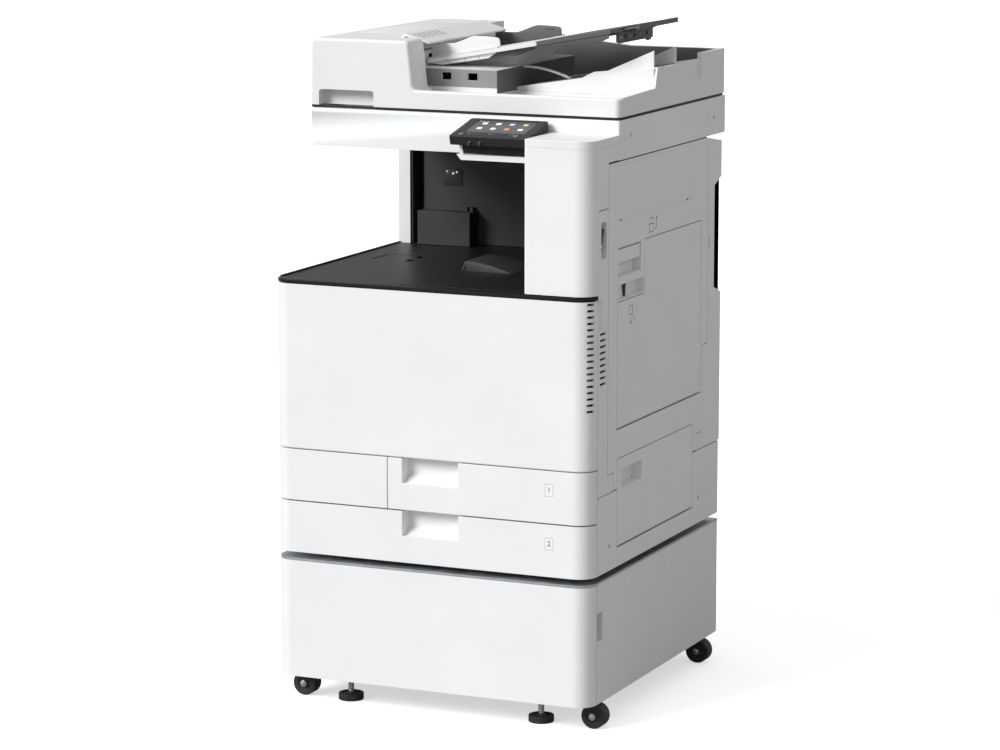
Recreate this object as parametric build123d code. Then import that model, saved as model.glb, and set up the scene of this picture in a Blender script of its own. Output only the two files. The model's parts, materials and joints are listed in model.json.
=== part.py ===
from build123d import *
import math
import os

# A floor-standing colour photocopier on a wheeled pedestal, in millimetres.
# While it is modelled, X = 0 is the middle of the cabinet and +X its right side, Y = 0 is the front of the
# covers and +Y goes back, and Z = 0 is the floor. The last step moves all of it to the middle of its own base.

# ---- Driving dimensions ----------------------------------------------------------------------------------
BODY_W = 565.0            # width across the side covers
BODY_D = 581.4            # front cover to rear cover
SCAN_BACK = 597.8         # rear of the scanner unit
CORNER_R = 30.0           # upright front corners
WALL = 3.0                # wall of every moulded cover
SEAM = 1.5                # gap between neighbouring covers
RETURN_Y = 31.0           # how far the front panels wrap round the corners
SIDE_Y = 32.6             # front edge of the side covers
FIT = 0.05                # radial clearance of a pin in its hole
FREE = 0.6                # gap between pieces that pass each other

PED_Z0 = 45.0             # underside of the pedestal
PED_Z1 = 247.0            # top of the pedestal
UNIT_Z0 = 257.0           # underside of the printer unit
DRAWER2_TOP = 342.5
DRAWER1_Z0 = 345.0
DRAWER1_TOP = 430.0
DRAWER1_X0 = -73.7        # left end of the upper drawer
COVER_TOP = 704.8         # top edge of the front cover
TRAY_Z0 = 706.6           # underside of the delivery tray's rim
TRAY_Z1 = 711.5           # top of the delivery tray
SCAN_Z0 = 919.0           # underside of the scanner unit
SCAN_Z1 = 982.2           # top of the scanner unit
SCAN_X0 = -270.0          # left end of the scanner unit
SCAN_Y0 = 118.0           # front of the scanner unit and of the tower's back edge
TOWER_X0 = 166.0          # left face of the tower
TOWER_TOP = 959.5
FEEDER_Z0 = 987.0         # underside of the document feeder
FEEDER_Z1 = 1097.0        # top of the feeder cover
FEEDER_BACK = 589.0
FEEDER_X1 = -81.0         # right end of the feeder's front block
HEAD_X1 = -112.0          # right end of the feeder's head, behind the front block
TRAY_TIP_X = 247.0        # tip of the document tray's extension
TRAY_SLOPE = 10.2         # degrees

WHEEL_R = 20.5
WHEEL_W = 24.0
TRAIL = 17.0
FOOT_R = 21.0
FOOT_X = 173.0
FOOT_Y = 61.0

HALF = BODY_W / 2
DRAWER2_Z0 = UNIT_Z0
COVER_Z0 = DRAWER1_TOP + SEAM
SKIN = HALF - WALL        # inner face of the side covers
MID_DECK = 434.0          # sheet that divides the drawers from the engine
SHELF = 339.0             # sheet between the two drawers


# ---- Helpers -----------------------------------------------------------------------------------------------
def block(x0, x1, y0, y1, z0, z1):
    """A box between two corners."""
    return Pos((x0 + x1) / 2, (y0 + y1) / 2, (z0 + z1) / 2) * Box(x1 - x0, y1 - y0, z1 - z0)


def plate_x(points, x0, x1):
    """An outline of (y, z) points, extruded from x0 to x1."""
    return extrude(Plane.YZ.offset(x0) * make_face(Polyline(*points, close=True)), x1 - x0)


def plate_y(points, y0, y1):
    """An outline of (x, z) points, extruded from y0 to y1."""
    return extrude(Plane.XZ.offset(-y1) * make_face(Polyline(*points, close=True)), y1 - y0)


def plate_z(points, z0, z1):
    """An outline of (x, y) points, extruded from z0 to z1."""
    return extrude(Plane.XY.offset(z0) * make_face(Polyline(*points, close=True)), z1 - z0)


def rod_x(x0, x1, y, z, radius):
    return Pos((x0 + x1) / 2, y, z) * Rot(0, 90, 0) * Cylinder(radius, x1 - x0)


def rod_y(x, y0, y1, z, radius):
    return Pos(x, (y0 + y1) / 2, z) * Rot(90, 0, 0) * Cylinder(radius, y1 - y0)


def rod_z(x, y, z0, z1, radius):
    return Pos(x, y, (z0 + z1) / 2) * Cylinder(radius, z1 - z0)


def round_edges(shape, axis, places, radius):
    """Round the edges along an axis that pass through the given places in the plane across it."""
    picked = []
    for edge in shape.edges().filter_by(axis):
        c = edge.center()
        across = {Axis.X: (c.Y, c.Z), Axis.Y: (c.X, c.Z), Axis.Z: (c.X, c.Y)}[axis]
        if any(math.dist(across, place) < 0.02 for place in places):
            picked.append(edge)
    return fillet(picked, radius)


def tray_box(x0, x1, y0, y1, z0, z1, wall, open_side):
    """A box shell with one side missing, open_side being one of the six names below."""
    inner = {"x0": x0 + wall, "x1": x1 - wall, "y0": y0 + wall, "y1": y1 - wall, "z0": z0 + wall,
             "z1": z1 - wall}
    inner[open_side] += -2 * wall if open_side.endswith("0") else 2 * wall
    return block(x0, x1, y0, y1, z0, z1) - block(**inner)


def front_shell(x0, x1, z0, z1, rounded):
    """A front panel that is open at the back, with the corners in rounded turned round the cabinet."""
    outer = block(x0, x1, 0, RETURN_Y, z0, z1)
    outer = round_edges(outer, Axis.Z, [(x, 0) for x in rounded], CORNER_R)
    inner = block(x0 + WALL, x1 - WALL, WALL, RETURN_Y + 1, z0 + WALL, z1 - WALL)
    inside = [(x + math.copysign(WALL, -x), WALL) for x in rounded]
    return outer - round_edges(inner, Axis.Z, inside, CORNER_R - WALL)


# ---- Pedestal ----------------------------------------------------------------------------------------------
PED_BACK = 577.0
PED_TOP_T = 3.5                   # thickness of the pedestal's top plate
PED_DOOR_Z = (PED_Z0 + 0.5, PED_Z1 - PED_TOP_T - 0.8)
PED_HINGE_Z = (66.0, 222.0)
PED_HINGE = (-HALF + 6.5, 22.0)   # upright axis of the pedestal door
PED_PIN_R = 2.0
NOTCH_Z = (148.5, 196.0)          # finger notch in the right side panel
NOTCH_Y1 = 56.0


def pedestal_frame():
    """Floor pan, top plate, four posts, and the arms that carry the door's pins."""
    pan = block(-SKIN + 1, SKIN - 1, 34, PED_BACK - 4, 50, 54)
    top = block(-HALF, HALF, 0, PED_BACK, PED_Z1 - PED_TOP_T, PED_Z1)
    frame = pan + round_edges(top, Axis.Z, [(-HALF, 0), (HALF, 0)], CORNER_R)
    for x in (-SKIN + 1, SKIN - 16):
        for y in (62, PED_BACK - 19):
            frame += block(x, x + 15, y, y + 15, 54, PED_Z1 - PED_TOP_T)
    for z in PED_HINGE_Z:
        frame += block(-262, -252, 20, 70, z, z + 3) + block(-266, -252, 64, 74, z, z + 3)
        frame += block(PED_HINGE[0] - 1.5, -252, 20.5, 23.5, z, z + 3)
        frame += rod_z(PED_HINGE[0], PED_HINGE[1], z, z + 9, PED_PIN_R)
    return frame


def pedestal_side(sign):
    """A side panel with a crease near its top; the right one has the door's finger notch."""
    panel = block(SKIN, HALF, SIDE_Y + 0.4, PED_BACK, PED_Z0, PED_Z1 - PED_TOP_T)
    panel -= block(HALF - 0.8, HALF + 1, 37, 565.5, 215.4, 216.6)
    panel -= block(HALF - 0.8, HALF + 1, 564.9, 566.1, 216, PED_Z1)
    if sign > 0:
        panel -= block(SKIN - 1, HALF + 1, 30, NOTCH_Y1, *NOTCH_Z)
        panel += tray_box(SKIN - 14, SKIN + 0.5, SIDE_Y + 0.4, NOTCH_Y1 + 2, NOTCH_Z[0] - 2,
                          NOTCH_Z[1] + 2, 2, "x1") - block(SKIN - 12, SKIN, 30, 40, *NOTCH_Z)
        return panel
    return mirror(panel, Plane.YZ)


def pedestal_back():
    return block(-SKIN + FREE, SKIN - FREE, PED_BACK - WALL, PED_BACK, PED_Z0, PED_Z1 - PED_TOP_T)


def pedestal_door():
    """Front panel of the pedestal, hinged at its left end, with a tab over each pin."""
    door = front_shell(-HALF, HALF, *PED_DOOR_Z, rounded=(-HALF, HALF))
    for z in PED_HINGE_Z:
        tab = block(-HALF + 1, PED_HINGE[0] + 4, PED_HINGE[1] - 4, PED_HINGE[1] + 4, z + 3.5, z + 8)
        door += tab - rod_z(*PED_HINGE, z, z + 12, PED_PIN_R + FIT)
    return door


# ---- Casters and levelling feet ----------------------------------------------------------------------------
CASTERS = {
    "front_right": (252.0, 61.0, 1),
    "front_left": (-238.0, 61.0, -1),
    "rear_right": (252.0, 530.0, 1),
    "rear_left": (-238.0, 530.0, -1),
}
AXLE_R = 3.5


def caster_fork(x, y, side):
    """Swivel plate, stem and centre fork; the wheel trails to one side of the stem."""
    wx = x + side * TRAIL
    stem = rod_z(x, y, 42, 50, 8)
    neck = block(min(x, wx) - 3, max(x, wx) + 3, y - 3, y + 3, WHEEL_R - 4, 44)
    plate = rod_z(x, y, 43, 46.5, 17)
    fork = stem + plate + neck
    fork += rod_y(wx, y - WHEEL_W / 2 - 2, y + WHEEL_W / 2 + 2, WHEEL_R, AXLE_R)
    return fork


def caster_wheel(x, y, side):
    """Two tyres on one hub, running on the fork's axle."""
    wx = x + side * TRAIL
    ears = []
    for sign in (-1, 1):
        y0 = y + sign * 3.6
        y1 = y + sign * WHEEL_W / 2
        tyre = rod_y(wx, min(y0, y1), max(y0, y1), WHEEL_R, WHEEL_R)
        tyre = fillet(tyre.edges().filter_by(GeomType.CIRCLE), 1.6)
        tyre -= rod_y(wx, y1 - 2.5, y1 + 2.5, WHEEL_R, WHEEL_R - 6)
        ears.append(tyre - rod_y(wx, y - 20, y + 20, WHEEL_R, AXLE_R + FIT))
    return ears


def levelling_foot(x):
    """A round foot on a threaded stem."""
    disc = rod_z(x, FOOT_Y, 0, 11, FOOT_R)
    disc = fillet(disc.edges().filter_by(GeomType.CIRCLE), 1.5)
    cone = Pos(x, FOOT_Y, 14) * Cone(FOOT_R - 6, 7, 6)
    return disc + cone + rod_z(x, FOOT_Y, 11, 49.4, 4.8)


# ---- Printer unit: frame and outer covers ------------------------------------------------------------------
DOOR_HINGE = (HALF - 3.5, 515.6)       # upright axis of the right door
DOOR_PIN_Z = (600.0, 780.0)            # heights of its two hinges
COVER_HINGE = (5.5, COVER_Z0 + 6)      # level axis of the front cover
PIN_R = 1.5
POST_X0 = 251.0           # posts on the right of the drawers
POST_W = 13.0
REAR_WALL_Y = 538.0        # front of the frame's rear wall
REAR_IN = 548.7                      # rear wall where it steps in
STEP_Z = (657.0, 832.0)              # height of that step
INLET_X = 215.0                      # middle of the power inlet
INLET_Z = 300.0
INLET_HALF = (14.0, 11.0)            # half width and half height of its hole


def main_frame():
    """Sheet and posts: base, drawer shelf, engine deck, rear and left walls, scanner rails, drawer rails."""
    frame = block(-SKIN + 1, SKIN - 1, 36, 560, UNIT_Z0, UNIT_Z0 + 4)
    x0, x1 = -SKIN + 1, POST_X0 + POST_W
    y1 = REAR_WALL_Y + 4
    frame += block(x0, x1, 36, y1, SHELF, SHELF + 3)
    frame += block(x0, x1, 36, y1, MID_DECK, MID_DECK + 4)
    frame += block(x0, x1, REAR_WALL_Y, y1, UNIT_Z0, SCAN_Z0)
    frame += block(x0, x0 + 4, 36, y1, UNIT_Z0, 703)
    for y in (36, 520):
        frame += block(POST_X0, x1, y, y + 22, UNIT_Z0, SCAN_Z0)
    frame += block(212, x1, 58, REAR_WALL_Y, SCAN_Z0 - 12, SCAN_Z0)
    for x in (-64, 240):
        for z in (UNIT_Z0 + 4, SHELF + 3):
            frame += block(x, x + 6, 40, 540, z, z + 2.5)
    for x in (-205, 199):
        y, z = COVER_HINGE
        frame += block(x, x + 4, y - 1.5, 37, z - 1.5, z + 1.5)
        frame += rod_x(x + 4, x + 11, y, z, PIN_R)
    x, y = DOOR_HINGE
    for z in DOOR_PIN_Z:
        frame += block(POST_X0, x + 0.2, y - 4, y + 0.2, z, z + 3)
        frame += block(POST_X0, POST_X0 + 8, y - 4, 522, z, z + 3)
        frame += rod_z(x, y, z, z + 9, PIN_R)
    for x in (-200, 200):
        for y in (90, 480):
            frame += rod_z(x, y, PED_Z1, UNIT_Z0, 12)
    return frame


def rear_outline():
    """The unit's rear edge as (y, z) points from its foot to the scanner, with the stepped-in middle."""
    low, high = STEP_Z
    return [(BODY_D, UNIT_Z0), (BODY_D, low - 12), (REAR_IN, low), (REAR_IN, high), (BODY_D, high + 13),
            (BODY_D, SCAN_Z0 - 13)]


def rear_cover():
    """Rear wall that follows the stepped outline, with vents, inlet hole and socket holes."""
    outer = rear_outline()
    inner = [(y - WALL, z) for y, z in reversed(outer)]
    cover = plate_x(outer + inner, -SKIN + FREE, SKIN - FREE)
    for i in range(14):
        z = 440 + i * 10.1
        cover -= block(-200, -80, BODY_D - 2 * WALL, BODY_D + 1, z, z + 4)
        cover -= block(80, 200, BODY_D - 2 * WALL, BODY_D + 1, z, z + 4)
    half_w, half_h = INLET_HALF
    cover -= block(INLET_X - half_w, INLET_X + half_w, BODY_D - 9, BODY_D + 1, INLET_Z - half_h,
                   INLET_Z + half_h)
    for i in range(3):
        cover -= block(-40 + 22 * i, -26 + 22 * i, BODY_D - 9, BODY_D + 1, 600, 608)
    return cover


def power_inlet():
    """Three-pin appliance inlet set in the rear cover."""
    half_w, half_h = INLET_HALF[0] - 0.5, INLET_HALF[1] - 0.5
    body = block(INLET_X - half_w, INLET_X + half_w, BODY_D - 22, BODY_D, INLET_Z - half_h, INLET_Z + half_h)
    half_w, half_h = half_w - 2.5, half_h - 2.5
    body -= block(INLET_X - half_w, INLET_X + half_w, BODY_D - 17, BODY_D + 1, INLET_Z - half_h,
                  INLET_Z + half_h)
    for dx in (-7, 0, 7):
        body += block(INLET_X + dx - 1, INLET_X + dx + 1, BODY_D - 17.5, BODY_D - 3, INLET_Z - 2.5,
                      INLET_Z + 2.5)
    return body


PILLAR_Y = 481.0


def left_cover():
    """Left wall with the pillar that carries the scanner's rear left corner."""
    outline = [(SIDE_Y, UNIT_Z0), (SIDE_Y, TRAY_Z0 - FREE), (PILLAR_Y, TRAY_Z0 - FREE),
               (PILLAR_Y, SCAN_Z0 - 2)] + list(reversed(rear_outline()))
    cover = plate_x(outline, -HALF, -SKIN)
    cover += block(-SKIN - 1, -260, PILLAR_Y, PILLAR_Y + WALL, TRAY_Z0 - FREE, SCAN_Z0 - 2)
    for i in range(10):
        z = 470 + i * 10.1
        cover -= block(-HALF - 1, -SKIN + 1, 440, 520, z, z + 4)
    return cover


DOOR_REAR_Y = 518.8       # rear edge of the right door beside its hinges
DOOR_UPPER_Y = 512.0      # rear edge above them
DOOR_STEP_Z = 823.0
DOOR_OUTLINE = [
    (74.5, 917.0), (74.5, 416.0), (100.0, 416.0), (100.0, 386.5), (114.5, 386.5), (114.5, 435.5),
    (455.0, 435.5), (455.0, 386.5), (471.0, 386.5), (471.0, 415.0), (496.7, 415.0), (496.7, 565.0),
    (DOOR_REAR_Y, 565.0), (DOOR_REAR_Y, DOOR_STEP_Z), (DOOR_UPPER_Y, DOOR_STEP_Z), (DOOR_UPPER_Y, 917.0),
]
SWITCH_Y = (43.0, 65.0)
SWITCH_Z = (769.0, 827.5)
SWITCH_AXIS = (HALF - 11.5, (SWITCH_Z[0] + SWITCH_Z[1]) / 2)
SWITCH_PIN_R = 1.2
SWITCH_REST = 7.0        # degrees that the rocker leans at rest


def side_strip():
    """Narrow vented cover in front of the right door, with switch pocket and finger hollow."""
    strip = plate_x([(SIDE_Y, 385.5), (100 - SEAM, 385.5), (100 - SEAM, 416 - SEAM),
                     (74.5 - SEAM, 416 - SEAM), (74.5 - SEAM, 846.5), (SIDE_Y, 846.5)], SKIN, HALF)
    y0, y1 = SWITCH_Y
    z0, z1 = SWITCH_Z
    strip -= block(SKIN - 1, HALF + 1, y0, y1, z0, z1)
    strip += tray_box(SKIN - 14.5, SKIN + 0.5, y0 - 2, y1 + 2, z0 - 2, z1 + 2, 2, "x1")
    x, z = SWITCH_AXIS
    strip -= rod_y(x, y0 - 1.5, y1 + 1.5, z, SWITCH_PIN_R + FIT)
    for i in range(9):
        z = 566 + i * 10.1
        strip -= block(SKIN - 1, HALF + 1, 40, 65, z, z + 4)
    hollow = rod_z(HALF + 8, 39, 657, 704, 15)
    strip += block(SKIN - 10, SKIN, SIDE_Y, 58, 653, 708)
    return strip - hollow


def right_lower_cover():
    """U-shaped cover round the lower right door."""
    y0, y1 = DOOR2_Y
    z1 = 384.0
    cover = plate_x([(SIDE_Y, UNIT_Z0), (BODY_D - 4, UNIT_Z0), (BODY_D - 4, z1), (y1 + SEAM, z1),
                     (y1 + SEAM, DOOR2_Z[0] - SEAM), (y0 - SEAM, DOOR2_Z[0] - SEAM), (y0 - SEAM, z1),
                     (SIDE_Y, z1)], SKIN, HALF)
    for y in (y0 - SEAM, y1 + SEAM):
        cover -= block(HALF - 0.8, HALF + 1, y - 0.6, y + 0.6, UNIT_Z0 - 1, DOOR2_Z[0])
    for y, z in LOWER_SCREWS:
        cover -= rod_x(SKIN - 1, HALF + 1, y, z, SCREW_R + 0.2)
    x, z = DOOR2_AXIS
    for y in (y0 - SEAM - 5, y1 + SEAM):
        cover += block(x - 5, SKIN + 0.5, y, y + 5, z - 4, z + 4)
    return cover - rod_y(x, y0 - SEAM - 4, y1 + SEAM + 4, z, PIN_R + FIT)


def right_rear_cover():
    """Right wall behind the door, stepped in front to follow the door and behind to follow the rear."""
    front = [(471 + SEAM, 385.5), (471 + SEAM, 415 - SEAM), (496.7 + SEAM, 415 - SEAM),
             (496.7 + SEAM, 565 - SEAM), (DOOR_REAR_Y + SEAM, 565 - SEAM),
             (DOOR_REAR_Y + SEAM, DOOR_STEP_Z + SEAM), (DOOR_UPPER_Y + SEAM, DOOR_STEP_Z + SEAM),
             (DOOR_UPPER_Y + SEAM, SCAN_Z0 - 2)]
    back = [(y, max(z, 385.5)) for y, z in reversed(rear_outline())]
    cover = plate_x(front + back, SKIN, HALF)
    cover -= block(HALF - 0.8, HALF + 1, 522, BODY_D, 635.5, 636.5)
    cover -= block(SKIN - 1, HALF + 1, 522.5, 526.5, 727, 747)
    return cover


# ---- Front: blank panel, drawers, front cover --------------------------------------------------------------
GRIP_X = (-48.0, 52.0)
GRIP_H = 41.0
GRIP_DEPTH = 24.0
BIN_X = (-68.0, 249.0)
BIN_Y = (RETURN_Y + 1, 505.0)


def blank_panel():
    return front_shell(-HALF, DRAWER1_X0 - SEAM, DRAWER1_Z0, DRAWER1_TOP, rounded=(-HALF,))


def drawer_front(x0, z0, z1, rounded):
    """Drawer face with a grip cup sunk into its top edge."""
    front = front_shell(x0, HALF, z0, z1, rounded)
    gx0, gx1 = GRIP_X
    front += block(gx0 - 2.5, gx1 + 2.5, 1, GRIP_DEPTH + 2.5, z1 - GRIP_H - 2.5, z1)
    cup = [(-1, z1 - GRIP_H), (-1, z1 + 1), (GRIP_DEPTH, z1 + 1), (GRIP_DEPTH, z1 - GRIP_H + 12),
           (8, z1 - GRIP_H)]
    front -= plate_x(cup, gx0, gx1)
    return front


def drawer_bin(z0, z1):
    """Paper tray: open box with a lift plate and a back stop standing in it."""
    x0, x1 = BIN_X
    y0, y1 = BIN_Y
    tray = tray_box(x0, x1, y0, y1, z0, z1, 2.5, "z1")
    for x in (x0 + 20, x1 - 60):
        tray += block(x, x + 40, WALL, y0 + 1, z0 + 8, z0 + 30)
    lift = block(x0 + 6, x1 - 6, y0 + 6, y1 - 60, z0 + 8, z0 + 10)
    stop = block(x0 + 110, x1 - 110, y1 - 40, y1 - 34, z0 + 2.5 + FREE, z1 - 8)
    return [tray, lift, stop]


def front_cover():
    """Large hinged cover with eighteen vents round its right corner and tabs over two hinge pins."""
    cover = front_shell(-HALF, HALF, COVER_Z0, COVER_TOP, rounded=(-HALF, HALF))
    cover = round_edges(cover, Axis.X, [(0, COVER_Z0)], 2.4)
    for i in range(18):
        z = 527 + i * 10.1
        cover -= block(HALF - 10, HALF + 1, -1, 21, z, z + 4)
    y, z = COVER_HINGE
    for x in (-205, 199):
        cover -= block(x - 1, x + 5, WALL, RETURN_Y + 1, COVER_Z0 - 1, COVER_Z0 + WALL + 1)
        tab = block(x + 5, x + 11, 1, y + 3.5, COVER_Z0 + 1, z + 3.5)
        cover += tab - rod_x(x + 3, x + 12, y, z, PIN_R + FIT)
    return cover


# ---- Delivery area, tower and panel bracket ----------------------------------------------------------------
FLAP_X = (-233.0, -160.0)
FLAP_Y = (270.0, 338.0)
WALL_Y = 502.0           # face of the dark rear wall
EXIT_X = 204.0           # face of the paper exit wall


def delivery_tray():
    """Black tray with a raised left edge, a wedge where sheets land, and a pocket for the flap."""
    tray = block(-HALF, HALF, 0, PILLAR_Y - SEAM, TRAY_Z0, TRAY_Z1)
    tray = round_edges(tray, Axis.Z, [(-HALF, 0), (HALF, 0)], CORNER_R)
    tray += block(-256, EXIT_X - 2, PILLAR_Y - 5, WALL_Y - FREE, TRAY_Z0, TRAY_Z1)
    tray -= block(POST_X0 - 1, HALF + 1, SIDE_Y - FREE, PILLAR_Y, TRAY_Z0 - 1, TRAY_Z1 + 1)
    wedge = plate_y([(-34, TRAY_Z1 - 1), (-27, TRAY_Z1 + 16), (10, TRAY_Z1 + 13), (40, TRAY_Z1 + 5),
                     (58, TRAY_Z1 - 1)], 205, 300)
    tray += wedge
    tray += block(-HALF, -HALF + 5, CORNER_R, PILLAR_Y - SEAM, TRAY_Z1 - 1, TRAY_Z1 + 2)
    x0, x1 = FLAP_X
    y0, y1 = FLAP_Y
    tray -= block(x0 - FREE, x1 + FREE, y0 - FREE, y1 + FREE, TRAY_Z1 - 2.6, TRAY_Z1 + 1)
    tray -= rod_y(FLAP_AXIS[0], y0 - FREE, y1 + FREE, FLAP_AXIS[1], 1.8)
    return tray


FLAP_AXIS = (FLAP_X[0] + 2.2, TRAY_Z1 - 1.4)


def stopper_flap():
    """Sheet stopper that lies flush in the delivery tray and turns up about its left end."""
    x0, x1 = FLAP_X
    y0, y1 = FLAP_Y
    flap = block(FLAP_AXIS[0], x1 - 12, y0, y1, TRAY_Z1 - 2.2, TRAY_Z1 - 0.4)
    flap += block(x1 - 13, x1, y0 + 24, y0 + 44, TRAY_Z1 - 2.2, TRAY_Z1 - 0.4)
    return flap + rod_y(FLAP_AXIS[0], y0, y1, FLAP_AXIS[1], 1.3)


def cavity_wall():
    """Dark inner walls of the delivery area: rear wall, deep left channel, duct box and exit wall."""
    z0, z1 = TRAY_Z1 + FREE, SCAN_Z0 - 2
    wall = block(-240, EXIT_X, WALL_Y, WALL_Y + WALL, z0, z1)
    wall += block(-243, -240, WALL_Y, 530, z0, z1)
    wall += block(-259, -240, 527, 530, z0, z1)
    wall += block(-259, -256, PILLAR_Y + WALL + 0.2, 530, z0, z1)
    wall += block(-240, -140, WALL_Y - 34, WALL_Y + 1, z0, 771)
    wall += block(-160, -144, WALL_Y - 12, WALL_Y + 1, 770, 778) - block(-154, -150, 480, WALL_Y, 770.5, 779)
    wall += block(EXIT_X - 2, EXIT_X + 1, SCAN_Y0 + 2, WALL_Y + WALL, z0, z1)
    wall -= block(EXIT_X - 3, EXIT_X + 2, 160, 470, 738, 752)
    for z in (770, 820):
        wall -= block(EXIT_X - 3, EXIT_X + 2, 220, 400, z, z + 8)
    return wall


def exit_rollers():
    """Shaft with six rubber rollers behind the paper exit slot."""
    shaft = rod_y(EXIT_X + 12, 150, 480, 745, 3)
    for i in range(6):
        shaft += rod_y(EXIT_X + 12, 170 + 50 * i, 190 + 50 * i, 745, 9)
    return shaft


def tower_cover():
    """White tower to the right of the delivery area, with a cap seam near its top."""
    z0 = TRAY_Z1 + SEAM
    outer = block(TOWER_X0, HALF, WALL, 74.5 - SEAM, z0, TOWER_TOP)
    outer = round_edges(outer, Axis.Z, [(HALF, WALL)], CORNER_R)
    outer = round_edges(outer, Axis.Z, [(TOWER_X0, WALL)], 5)
    outer = round_edges(outer, Axis.Y, [(HALF, TOWER_TOP)], 1.0)
    inner = block(TOWER_X0 + WALL, SKIN, 2 * WALL, 80, z0 - 1, TOWER_TOP - WALL)
    shell = outer - round_edges(inner, Axis.Z, [(SKIN, 2 * WALL)], CORNER_R - WALL)
    shell += block(TOWER_X0, TOWER_X0 + WALL, 60, SCAN_Y0 - FREE, z0, TOWER_TOP)
    shell += block(TOWER_X0, HALF, 60, SCAN_Y0 - FREE, TOWER_TOP - WALL, TOWER_TOP)
    shell += block(SKIN, HALF, 60, SCAN_Y0 - FREE, SCAN_Z0 + 1, TOWER_TOP)
    shell -= block(TOWER_X0 + WALL, HALF + 1, SIDE_Y - FREE, 90, z0 - 1, 848)
    groove = block(TOWER_X0 - 1, HALF + 1, 0, SCAN_Y0, 945.8, 947)
    core = block(TOWER_X0 + 0.8, HALF - 0.8, WALL + 0.8, SCAN_Y0, 945, 948)
    core = round_edges(core, Axis.Z, [(HALF - 0.8, WALL + 0.8)], CORNER_R - 0.8)
    core = round_edges(core, Axis.Z, [(TOWER_X0 + 0.8, WALL + 0.8)], 4.2)
    return shell - (groove - core)


def panel_bracket():
    """White shelf under the control panel."""
    shelf = plate_y([(32, 926), (40, SCAN_Z0 - 2), (TOWER_X0 + 1, SCAN_Z0 - 2), (TOWER_X0 + 1, 926)],
                    40, SCAN_Y0 - FREE)
    y, z = PANEL_AXIS
    x0, x1 = PANEL_X
    shelf += block(x0 + 8, x0 + 14, y - 3, y + 3, 920, z)
    return shelf + rod_x(x0 + 8, x1 - 5, y, z, 5 - 2 * FIT)


# ---- Control panel -----------------------------------------------------------------------------------------
PANEL_X = (27.0, 162.0)
PANEL_Y = (20.0, 112.0)
PANEL_Z = (956.5, 977.0)      # front and rear of its upper face
PANEL_AXIS = (50.0, 938.0)
PANEL_TILT = math.degrees(math.atan2(PANEL_Z[1] - PANEL_Z[0], PANEL_Y[1] - PANEL_Y[0]))
KEYS = {"home_key": 44.0, "start_key": 139.0}
KEY_R = 4.2
KEY_TRAVEL = 1.0


def on_panel(shape):
    """Move a piece drawn flat, with its origin at the panel's front edge, onto the sloping face."""
    return Pos(0, PANEL_Y[0], PANEL_Z[0]) * Rot(PANEL_TILT, 0, 0) * shape


PANEL_LEN = math.dist((PANEL_Y[0], PANEL_Z[0]), (PANEL_Y[1], PANEL_Z[1]))
SCREEN = (44.0, 148.0, 26.0, 84.0)      # x0, x1, and distance up the slope


def control_panel():
    """Black panel: sloping slab with a pocket for the screen, and a narrower body round its axis."""
    x0, x1 = PANEL_X
    slab = block(x0, x1, 0, PANEL_LEN, -14, 0)
    slab = round_edges(slab, Axis.Z, [(x0, 0), (x1, 0), (x0, PANEL_LEN), (x1, PANEL_LEN)], 5)
    sx0, sx1, sy0, sy1 = SCREEN
    slab -= block(sx0, sx1, sy0, sy1, -3, 1)
    for x in KEYS.values():
        slab -= Pos(x, 13, 0) * Cylinder(KEY_R + 0.3, 8)
    y, z = PANEL_AXIS
    body = rod_x(x0 + 7, x1, y, z, 11) + block(x0 + 7, x1, y - 11, y + 11, z, z + 18)
    body -= rod_x(x0 - 1, x1 - 4, y, z, 5)
    body -= block(x0 + 6, x0 + 16, y - 12, y + 12, z - 12, z + 6)
    return on_panel(slab) + body


def touch_screen():
    sx0, sx1, sy0, sy1 = SCREEN
    return on_panel(block(sx0 + 0.2, sx1 - 0.2, sy0 + 0.2, sy1 - 0.2, -3, -0.3))


def panel_key(x):
    """A round key that stands a little proud of the panel."""
    key = Pos(x, 13, -0.9) * Cylinder(KEY_R, 4.0)
    return on_panel(fillet(key.edges().group_by(Axis.Z)[-1], 0.5))


# ---- Scanner unit ------------------------------------------------------------------------------------------
GLASS_X = (-228.0, 212.0)
GLASS_Y = (150.0, 470.0)
SCREW_R = 3.4
SCAN_SCREWS = [(165.4, 955.6), (540.4, 949.0)]
LOWER_SCREWS = [(82.5, 297.6), (482.4, 301.0)]


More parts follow.
